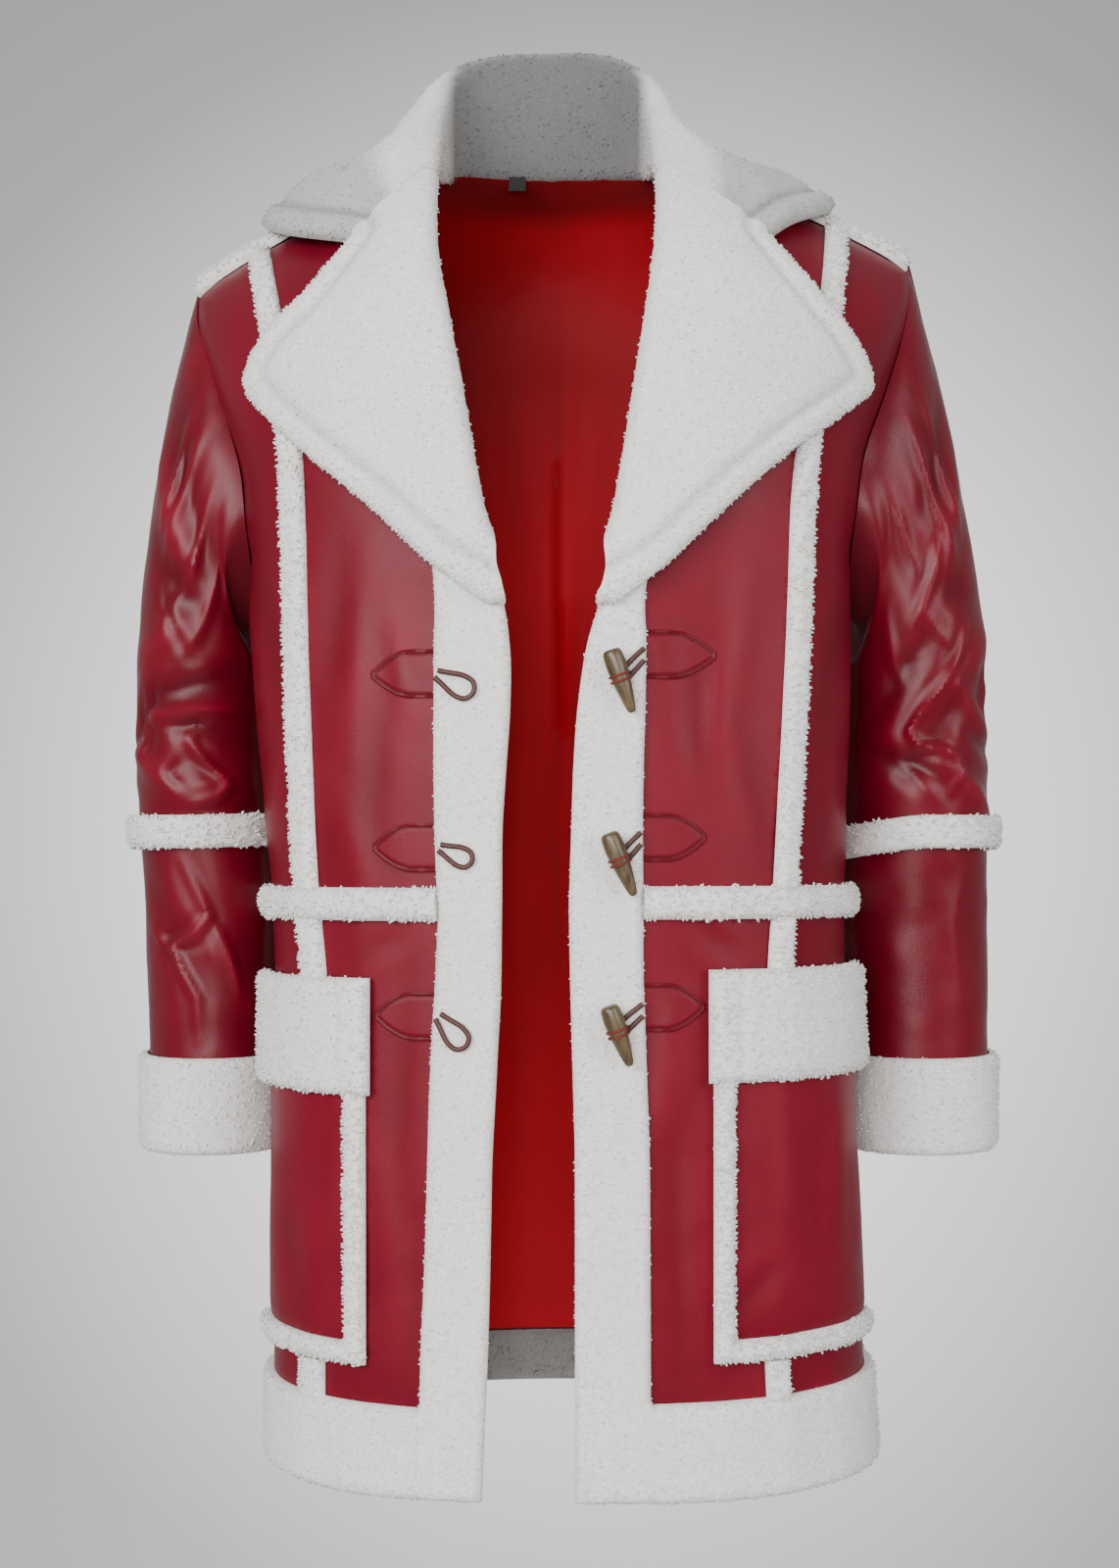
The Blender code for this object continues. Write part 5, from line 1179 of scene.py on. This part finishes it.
def tube(name, rings, thick, group, node, seed, **look):
    # A round slab of pile on rings: the first and last ring are its free edges
    rings = outwards(rings)
    normal = unitNormals(rings, True)
    near = edgeDistance(rings, "bt")
    lumps, size, radius = look["lumps"], look["lumpSize"], look["radius"]
    height = thick * (0.25 + 0.75 * rounded(near, radius))
    bumpy = noise(rings, size, seed) + 0.6 * noise(rings, size * 0.5, seed + 7)
    height = height + lumps * bumpy * rounded(near, radius * 0.6)
    outer = rings + normal * height[..., None]
    piece = closedSheet(name, outer, rings, materials["shearling"], True, {"inside": 0 * near}, 60)
    edge = np.clip(1 - near / (2 * radius), 0, 1)
    keepForPile(group, outer, unitNormals(outer, True), look["weight"] * (1 + 1.5 * edge))
    cloth(piece, rings, node, wrap=True)


# Collar and lapels

lapels = {
    "rows": {  # where the roll and the outer edge lie, x and z, from the break up to the gorge
        -1: ((0.0345, -0.3140, 0.0430, -0.3100), (0.0365, -0.2990, 0.0792, -0.2880),
             (0.0420, -0.2800, 0.1180, -0.2510), (0.0460, -0.2600, 0.1616, -0.2127),
             (0.0500, -0.2380, 0.1930, -0.1800), (0.0540, -0.2150, 0.2040, -0.1580),
             (0.0600, -0.1800, 0.1900, -0.1300), (0.0680, -0.1350, 0.1650, -0.1080),
             (0.0765, -0.0830, 0.1470, -0.0870), (0.0816, -0.0150, 0.1343, -0.0710)),
        1: ((0.0235, -0.3140, 0.0320, -0.3100), (0.0275, -0.2990, 0.0640, -0.2900),
            (0.0300, -0.2800, 0.1020, -0.2530), (0.0330, -0.2600, 0.1440, -0.2140),
            (0.0360, -0.2380, 0.1800, -0.1850), (0.0400, -0.2150, 0.2035, -0.1600),
            (0.0455, -0.1800, 0.1910, -0.1320), (0.0520, -0.1350, 0.1700, -0.1080),
            (0.0590, -0.0830, 0.1500, -0.0850), (0.0640, -0.0150, 0.1355, -0.0680))},
    "lift": 0.0085, "swell": 0.004, "shares": (0.0, 0.15, 0.35, 0.57, 0.78, 0.91, 1.0),
    "turn": ((0.0090, -0.0015, 0.0008, 0.0080), (0.0080, 0.0025, 0.0025, 0.0083),
             (0.0084, 0.0062, 0.0045, 0.0085)),
    "flatAbove": -0.245, "flatOver": 0.045, "border": 0.0185, "thick": 0.0085,
}


def lapelGrid(side):
    # Rows of ten points: three round the roll, seven over the chest. Near the break the turn flattens
    table = np.array(lapels["rows"][side])
    table = smoothAlong(table, np.linspace(0, len(table) - 1, 46), 0)
    roll = np.stack([side * table[:, 0], table[:, 1]], -1)
    edge = np.stack([side * table[:, 2], table[:, 3]], -1)
    width = np.linalg.norm(edge - roll, axis=-1)[:, None]
    toward = (edge - roll) / width
    narrow = np.minimum(1, width / 0.035)
    flat = np.clip((lapels["flatAbove"] - roll[:, 1:]) / lapels["flatOver"], 0, 1)
    flat = flat * flat * (3 - 2 * flat)
    beyond, lift = [], []
    for far, high, flatFar, flatHigh in lapels["turn"]:
        beyond.append(far * (1 - flat) + flatFar * narrow * flat)
        lift.append(high * (1 - flat) + flatHigh * flat)
    start = beyond[-1] + 0.003 * narrow
    for share in lapels["shares"]:
        beyond.append(start + (width - start) * share)
        swell = lapels["swell"] * math.sin(math.pi * min(1, share * 1.2)) * np.minimum(1, width / 0.08)
        lift.append(lapels["lift"] + swell)
    beyond, lift = np.concatenate(beyond, 1), np.concatenate(lift, 1)
    at = roll[:, None] + toward[:, None] * beyond[..., None]
    y = depthAt(at[..., 0], at[..., 1], "front") - lift
    return np.stack([at[..., 0], y, at[..., 1]], -1)


def borderSeam(inside):
    # Inside the padded border the field lies lower, with a soft groove where the two meet
    def height(base, near):
        away = inside(base) - lapels["border"]
        return -0.0014 * np.clip(away / 0.010 + 0.5, 0, 1) - 0.0026 * np.exp(-(away / 0.0040) ** 2)
    return height


def seamShade(inside):
    # Greyer along the groove of the border
    return lambda base: 0.30 * np.exp(-((inside(base) - lapels["border"]) / 0.0030) ** 2)


def makeLapels():
    # Each lapel is a slab on its grid, with a padded border along the outer edge
    for side in (-1, 1):
        grid = lapelGrid(side)
        base = dense(grid, (0, len(grid) - 1), (0, 9), 0.0028)[0]
        edgeLine = base[2:, -1]
        outerEdge = lambda grid: lineDistance(grid, edgeLine)
        free = np.concatenate([base[0], base[:, -1]])
        piece, base = fleece(f"shearling_lapel_{sideName[side]}", base, np.array((0, -1, 0.1)),
                             lapels["thick"], "Lapel", lumps=0.0003, lumpSize=0.0045, radius=0.0080,
                             lift=0.0, grooves=borderSeam(outerEdge), weight=0.25, seed=61 + side,
                             edgePile=5, nearTo=lambda grid: lineDistance(grid, free),
                             shade=seamShade(outerEdge))
        cloth(piece, base, "lapel_" + sideName[side])


collar = {  # stations, sideways, back and up: neck seam, roll, its foot, crest, outer edge
    "stations": {
        -1: (((0.079, -0.022, 0.010), (0.081, -0.036, 0.034), (0.108, -0.066, 0.008),
              (0.142, -0.084, -0.020), (0.166, -0.090, -0.054)),
             ((0.078, 0.006, 0.013), (0.081, -0.008, 0.058), (0.112, -0.022, 0.022),
              (0.160, -0.038, -0.002), (0.190, -0.049, -0.037)),
             ((0.070, 0.030, 0.020), (0.076, 0.018, 0.084), (0.112, 0.018, 0.038), (0.164, 0.018, 0.012),
              (0.191, 0.010, -0.018)),
             ((0.054, 0.052, 0.027), (0.060, 0.044, 0.106), (0.094, 0.066, 0.058), (0.130, 0.088, 0.030),
              (0.158, 0.102, -0.006))),
        1: (((0.079, -0.022, 0.010), (0.081, -0.036, 0.034), (0.106, -0.066, 0.004),
             (0.140, -0.084, -0.022), (0.166, -0.090, -0.052)),
            ((0.078, 0.006, 0.013), (0.081, -0.008, 0.053), (0.108, -0.022, 0.015),
             (0.160, -0.038, -0.006), (0.195, -0.049, -0.032)),
            ((0.070, 0.030, 0.020), (0.076, 0.018, 0.079), (0.108, 0.018, 0.029), (0.162, 0.018, 0.008),
             (0.195, 0.010, -0.015)),
            ((0.054, 0.052, 0.027), (0.060, 0.044, 0.103), (0.091, 0.066, 0.052), (0.128, 0.088, 0.026),
             (0.158, 0.102, -0.006)))},
    "back": (
        ((0.030, 0.0640, 0.030), (0.033, 0.057, 0.116), (0.050, 0.090, 0.080), (0.070, 0.118, 0.048),
         (0.086, 0.138, 0.000)),
        ((0.000, 0.0680, 0.030), (0.000, 0.062, 0.119), (0.000, 0.096, 0.086), (0.000, 0.124, 0.050),
         (0.000, 0.144, 0.000))),
    "middle": -0.0095, "tilt": 0.02, "thick": 0.0085, "steps": (3, 2, 2, 2), "gap": 0.0008,
    # grey: the painted shade on the stand is full within narrow of the middle and below the share low, and
    # fades out by wide and by high
    "grey": (0.066, 0.074, 0.40, 0.48),
}


def collarGrid():
    # Stations read at a few places each, from the right lapel's last row round the back to the left one
    places = np.concatenate([np.linspace(i, i + 1, n, endpoint=False) for i, n in enumerate(collar["steps"])]
                            + [[4.0]])
    both = []
    for side in (-1, 1):
        found = smoothAlong(np.array(collar["stations"][side] + collar["back"]), places, 1) * (side, 1, 1)
        found[..., 2] += collar["tilt"] * found[..., 0]
        found[..., 0] += collar["middle"]
        both.append(found)
    ends = [lapelGrid(side)[-1] for side in (-1, 1)]
    rows = np.concatenate([ends[0][None], both[0], both[1][-2::-1], ends[1][None]])
    for end, near in ((0, 1), (-1, -2)):
        step = rows[near] - rows[end]
        rows[end] += step * (collar["gap"] / np.linalg.norm(step, axis=1, keepdims=True))
    return rows


def makeCollar():
    # The grid runs from the neck seam over the roll to the outer edge. Painted shade makes its stand greyer
    # between the two sides of the neck, up to the top of the roll, and greys the fall and the border's groove
    grid = collarGrid()
    base = dense(grid, (0, len(grid) - 1), (0, grid.shape[1] - 1), 0.0036)[0]
    share = arc(base, 1) / arc(base, 1)[:, -1:]
    if unitNormals(base)[len(base) // 2, 2, 1] > 0:
        base, share = base[:, ::-1], share[:, ::-1]
    normal = unitNormals(base)
    rim, inner = (base[:, 0], base[:, -1]) if share[0, 0] > 0.5 else (base[:, -1], base[:, 0])
    near = np.minimum(lineDistance(base, rim), lineDistance(base, inner))
    height = collar["thick"] * (0.3 + 0.7 * rounded(near, 0.0080))
    bumpy = noise(base, 0.0045, 71) + 0.6 * noise(base, 0.0022, 72)
    slow = noise(base, 0.035, 73) * 0.0010
    fromRim = lambda grid: lineDistance(grid, rim)
    height = height + 0.0003 * bumpy + slow + borderSeam(fromRim)(base, near)
    surface = base + normal * height[..., None]
    narrow, wide, low, high = collar["grey"]
    # inside is painted shade: on the stand, on the fall beyond a share of 0.45, and along the border's groove
    out = np.abs(surface[..., 0] - collar["middle"])
    inside = np.clip((wide - out) / (wide - narrow), 0, 1) * np.clip((high - share) / (high - low), 0, 1)
    fall = 0.54 * np.clip((share - 0.45) / 0.15, 0, 1)
    inside = np.maximum(inside, fall + seamShade(fromRim)(base))
    piece = closedSheet("shearling_collar", surface, base, materials["shearling"], False,
                        {"inside": inside}, 60)
    edge = np.clip(1 - near / 0.015, 0, 1)
    keepForPile("Collar", surface, unitNormals(surface), 0.25 * (1 + 5 * edge), inside)
    cloth(piece, base, "collar")


shoulderRows = (("front", 0.0135), ("front", 0.005), ("back", 0.0), ("back", 0.005), ("back", 0.0135))


def makeShoulderStrips():
    # Rows over the shoulder's edge, each a half and its drop under the shoulder line
    for side in (-1, 1):
        rows = []
        for half, drop in shoulderRows:
            x = -0.005 + side * np.linspace(0.148, 0.249, 8)
            z = shoulderLine(x) - drop
            rows.append(np.stack([x, depthAt(x, z, half), z + 0.0010], -1))
        base = dense(np.array(rows), (0, 4), (0, 7), 0.0026)[0]
        name = sideName[side]
        piece, base = fleece("shearling_shoulder_" + name, base, np.array((0, 0, 1)), 0.0072, "Strip",
                             lumps=0.0009, lumpSize=0.0056, radius=0.0066, lift=0.0, weight=1.2,
                             seed=81 + side)
        cloth(piece, base, "shoulder_strip_" + name)


# Fastenings

fastenings = {
    "thong": 0.0034, "thongLift": 0.0090,
    "loops": (((-0.0775, -0.3560), (-0.0540, -0.3680)), ((-0.0755, -0.4650), (-0.0550, -0.4740)),
              ((-0.0765, -0.5710), (-0.0590, -0.5900))),
    "loopShape": ((0.0, 0.09), (0.25, 0.16), (0.6, 0.26), (0.88, 0.22), (1.0, 0.0),
                  (0.88, -0.22), (0.6, -0.26), (0.25, -0.16), (0.0, -0.09)),
    "toggles": (((0.0320, -0.3420), (0.0455, -0.3810)), ((0.0305, -0.4560), (0.0465, -0.4950)),
                ((0.0305, -0.5635), (0.0440, -0.6010))),
    "toggleLift": 0.0178,
    "toggleShape": ((0.00, 0.0042), (0.03, 0.0056), (0.10, 0.0063), (0.24, 0.0066), (0.42, 0.0062),
                    (0.60, 0.0053), (0.76, 0.0043), (0.88, 0.0034), (0.96, 0.0027), (1.00, 0.0016)),
    "tab": (-0.0375, -0.0250, 0.0200, 0.0304), "tabBack": 0.0490,
}


def smoothLine(points, count):
    # Catmull-Rom curve through the points, read at even places
    points = np.array(points, float)
    return smoothAlong(points, np.linspace(0, len(points) - 1, count), 0)


def cordCurve(name, points, diameter, material):
    # An open poly line with a round section, its ends closed
    curve = bpy.data.curves.new(name, "CURVE")
    curve.dimensions = "3D"
    curve.bevel_depth = diameter / 2
    curve.bevel_resolution = 4
    curve.use_fill_caps = True
    spline = curve.splines.new("POLY")
    spline.points.add(len(points) - 1)
    spline.points.foreach_set("co", np.concatenate([points, np.ones((len(points), 1))], 1).ravel())
    spline.use_smooth = True
    made = bpy.data.objects.new(name, curve)
    bpy.context.scene.collection.objects.link(made)
    curve.materials.append(material)
    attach(made, "root")
    pieces[name] = made
    return made


def declareThong(name, points, node):
    # A thong as a round cord that stands in for its CAD node, with its length measured along the points
    made = cordCurve(name, points, fastenings["thong"], materials["thong"])
    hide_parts(node)
    length = float(np.linalg.norm(np.diff(points, axis=0), axis=1).sum())
    cordLengths[name] = round(length, 4)


cordLengths = {}


def frontPlace(x, z, lift):
    # The point over x, z that stands off the front by lift
    return np.array((x, float(depthAt(np.array(x), np.array(z), "front")) - lift, z))


def makeLoops():
    # Three thong loops that come out from under the right patches
    lift = fastenings["thongLift"]
    for number, (start, tip) in enumerate(fastenings["loops"]):
        start, tip = np.array(start), np.array(tip)
        along = tip - start
        side = np.array((-along[1], along[0]))
        route = []
        for share, out in fastenings["loopShape"]:
            x, z = start + along * share + side * out
            route.append(frontPlace(x, z, lift))
        declareThong(f"thong_loop_{number + 1}", smoothLine(route, 60), f"loop_right_{number + 1}")


def revolved(a, b, shape, sides=28):
    # Rings round the line from a to b: share of the way and radius of each
    a, b = np.array(a, float), np.array(b, float)
    axis = (b - a) / np.linalg.norm(b - a)
    side = np.cross(axis, (0, 1, 0))
    side /= np.linalg.norm(side)
    other = np.cross(axis, side)
    angle = np.arange(sides) * 2 * np.pi / sides
    ring = side * np.cos(angle)[:, None] + other * np.sin(angle)[:, None]
    shape = np.array(shape)
    rings = (a + (b - a) * shape[:, :1])[:, None] + ring[None] * shape[:, 1][:, None, None]
    count = len(shape) * sides
    points = np.concatenate([rings.reshape(-1, 3), [a], [b]])
    quads = quadIndex(len(shape), sides, True)
    k = np.arange(sides)
    first = np.stack([0 * k + count, (k + 1) % sides, k], 1)
    last = np.stack([0 * k + count + 1, k + count - sides, (k + 1) % sides + count - sides], 1)
    return points, [quads, first, last]


def makeToggles():
    # Three horns with a binding, each held by a thong from its patch on the left front
    lift = fastenings["toggleLift"]
    for number, (fat, thin) in enumerate(fastenings["toggles"]):
        a, b = frontPlace(*fat, lift), frontPlace(*thin, lift - 0.002)
        shape = smoothLine(fastenings["toggleShape"], 30)
        shape[0, 1], shape[-1, 1] = 0.0040, 0.0012
        points, faces = revolved(a, b, shape)
        horn = addMesh(f"horn_{number + 1}", points, faces, materials["horn"], None, None, 50)
        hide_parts(f"toggle_{number + 1}")
        middle = (a + b) / 2 + (a - b) * 0.06
        toEnd = (a - b) / np.linalg.norm(a - b)
        binding = []
        for along in (-0.0020, 0.0016):
            angle = np.linspace(0, 2 * np.pi, 30, endpoint=False)
            side = np.cross(toEnd, (0, 1, 0))
            side /= np.linalg.norm(side)
            other = np.cross(toEnd, side)
            centre = middle + toEnd * along
            radius = 0.0067
            ring = centre + (side * np.cos(angle)[:, None] + other * np.sin(angle)[:, None]) * radius
            binding.append(tubeAlong(ring, 0.0008, 8))
        points, faces = joinParts(binding)
        wound = addMesh(f"toggle_binding_{number + 1}", points, faces, materials["cord"], None, None, 0)
        height = patch["heights"][number][1]
        exitX = lookUp(coat["placketSeam"][1], height) - 0.0012
        behind = middle + (0, 0.0088, 0)
        thong = fastenings["thongLift"]
        route = [frontPlace(exitX, height + 0.003, thong),
                 frontPlace((exitX + middle[0]) / 2, (height + middle[2]) / 2 + 0.004, thong),
                 behind + (0.001, 0, 0.0045), behind + (-0.0035, 0, 0), behind + (0.001, 0, -0.0045),
                 frontPlace((exitX + middle[0]) / 2, (height + middle[2]) / 2 - 0.005, thong),
                 frontPlace(exitX, height - 0.0045, thong)]
        declareThong(f"thong_toggle_{number + 1}", smoothLine(route, 60), f"toggle_thong_{number + 1}")


def tubeAlong(path, radius, sides):
    # Closed ring of round section: rings square to the path, joined all round
    ahead = np.roll(path, -1, 0) - np.roll(path, 1, 0)
    ahead /= np.linalg.norm(ahead, axis=1, keepdims=True)
    out = path - path.mean(0)
    out /= np.linalg.norm(out, axis=1, keepdims=True)
    other = np.cross(ahead, out)
    angle = np.arange(sides) * 2 * np.pi / sides
    grid = path[:, None] + radius * (out[:, None] * np.cos(angle)[None, :, None]
                                     + other[:, None] * np.sin(angle)[None, :, None])
    rows, columns = grid.shape[:2]
    r, c = np.meshgrid(np.arange(rows), np.arange(columns), indexing="ij")
    r2, c2 = (r + 1) % rows, (c + 1) % columns
    faces = np.stack([r * columns + c, r2 * columns + c, r2 * columns + c2, r * columns + c2], -1)
    return grid.reshape(-1, 3), faces.reshape(-1, 4)


def makeTab():
    # A small black tab under the foot of the stand
    left, right, low, high = fastenings["tab"]
    x, z = np.meshgrid(np.linspace(left, right, 16), np.linspace(low, high, 9))
    y = fastenings["tabBack"] + 0 * x
    base = np.stack([x, y, z], -1)
    base, = facing(base, np.array((0, -1, 0)))
    near = edgeDistance(base)
    outer = base + unitNormals(base) * (0.0006 + 0.0005 * rounded(near, 0.001))[..., None]
    piece = closedSheet("tab_back", outer, base, materials["tab"])
    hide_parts("neck_tab")
    wide, high = right - left, high - low


# Putting it together

camera = {"place": (0, -1.40, -0.47), "lens": 45.09, "sensor": 36, "shift": 0.0456}


def makeCamera():
    # Level camera in front of the coat, with the frame moved up by shift
    data = bpy.data.cameras.new("camera")
    data.lens, data.sensor_width, data.sensor_fit = camera["lens"], camera["sensor"], "AUTO"
    data.shift_y = camera["shift"]
    made = bpy.data.objects.new("camera", data)
    made.location, made.rotation_euler = camera["place"], (math.pi / 2, 0, 0)
    bpy.context.scene.collection.objects.link(made)
    bpy.context.scene.camera = made


studio = {
    "floor": -2.3, "wall": 3.6, "bend": 1.6, "world": 0.40, "grey": ((0.97, 0.97, 0.97), (0.50, 0.50, 0.50)),
    # A painted pool of light on the backdrop: pale round its middle, fading to the darker grey further off
    "paintedLightPool": ((0.19, 3.6, -0.30), 1.08, 2.08),  # middle, where the pale part ends, where it is darkest
    "lights": (  # place, size, power, aimed at
        ((-1.5, -2.3, 0.3), (1.3, 1.6), 68, (0, 0, -0.4)), ((2.0, -1.9, 0.2), (1.2, 1.6), 36, (0, 0, -0.4)),
        ((-0.25, -2.6, -0.3), (1.1, 1.1), 42, (0, 0, -0.4)), ((0.0, 1.2, 1.4), (1.6, 1.0), 16, (0, 0, -0.3)),
        ((0.0, 1.2, -0.4), (0.5, 0.5), 60, (0, 3.6, -0.4))),
}


def makeStudio():
    # A floor that bends up into a wall with a painted pool of light on it, soft area lights and a pale world
    depth, floor, bend = studio["wall"], studio["floor"], studio["bend"]
    turn = np.linspace(0, np.pi / 2, 24)
    curve = [(depth - bend + bend * math.sin(t), floor + bend - bend * math.cos(t)) for t in turn]
    line = np.array([(-6.0, floor)] + curve + [(depth, 4.0)])
    x = np.linspace(-5, 5, 3)
    grid = np.stack([np.repeat(x[None], len(line), 0), np.repeat(line[:, :1], 3, 1),
                     np.repeat(line[:, 1:], 3, 1)], -1)
    mesh = bpy.data.meshes.new("backdrop")
    mesh.from_pydata(grid.reshape(-1, 3).tolist(), [], quadIndex(len(line), 3).tolist())
    mesh.shade_smooth()
    backdrop = bpy.data.objects.new("backdrop", mesh)
    bpy.context.scene.collection.objects.link(backdrop)
    made, nodes, links, shader, place = newMaterial("paleGrey", 0.9, Specular_IOR_Level=0.1)
    away = nodes.new("ShaderNodeVectorMath")
    away.operation = "DISTANCE"
    # Painted pool of light: the backdrop's colour goes from pale to darker with the distance from the middle
    middle, inner, outer = studio["paintedLightPool"]
    away.inputs[1].default_value = middle
    links.new(place, away.inputs[0])
    share = mapRange(nodes, links, away.outputs["Value"], inner, outer, 0, 1)
    links.new(mixColour(nodes, links, share, *studio["grey"]), shader.inputs["Base Color"])
    mesh.materials.append(made)
    for number, (place, size, power, target) in enumerate(studio["lights"]):
        data = bpy.data.lights.new(f"softbox{number}", "AREA")
        data.shape, data.size, data.size_y, data.energy = "RECTANGLE", *size, power
        light = bpy.data.objects.new(f"softbox{number}", data)
        light.location = place
        light.rotation_euler = (Vector(target) - Vector(place)).to_track_quat("-Z", "Y").to_euler()
        bpy.context.scene.collection.objects.link(light)
    world = bpy.context.scene.world or bpy.data.worlds.new("world")
    bpy.context.scene.world = world
    world.use_nodes = True
    background = world.node_tree.nodes.get("Background")
    background.inputs[0].default_value = (1, 1, 1, 1)
    background.inputs[1].default_value = studio["world"]


tufts = {  # count, length, width
    "Placket": (3500, 0.0019, 0.0013), "Hem": (4600, 0.0020, 0.0014), "Waist": (3600, 0.0028, 0.0018),
    "Strip": (4600, 0.0027, 0.0017), "Pocket": (4700, 0.0026, 0.0017), "Elbow": (2700, 0.0029, 0.0018),
    "Cuff": (3600, 0.0021, 0.0015), "Lapel": (3700, 0.0018, 0.0013), "Collar": (3900, 0.0018, 0.0013),
}

makeCamera()
makeLoops()
makeToggles()
print("fastenings made")
makeCollar()
makeBody()
print("body panels made")
makeLining()
makeFacing()
makeTrim()
makePockets()
makePatches()
print("lining, trim, pockets and patches made")
makeSleeves()
makeLapels()
makeShoulderStrips()
makeTab()
print("sleeves, lapels, collar and tab made")
for seed, (group, values) in enumerate(tufts.items()):
    pile(group, *values, 100 + seed)
makeStudio()
meshes = [piece.data for piece in pieces.values() if piece.type == "MESH"]
total = sum(len(mesh.loops) - 2 * len(mesh.polygons) for mesh in meshes)
print("pile and studio made", len(pieces), "pieces", total, "triangles", cordLengths)
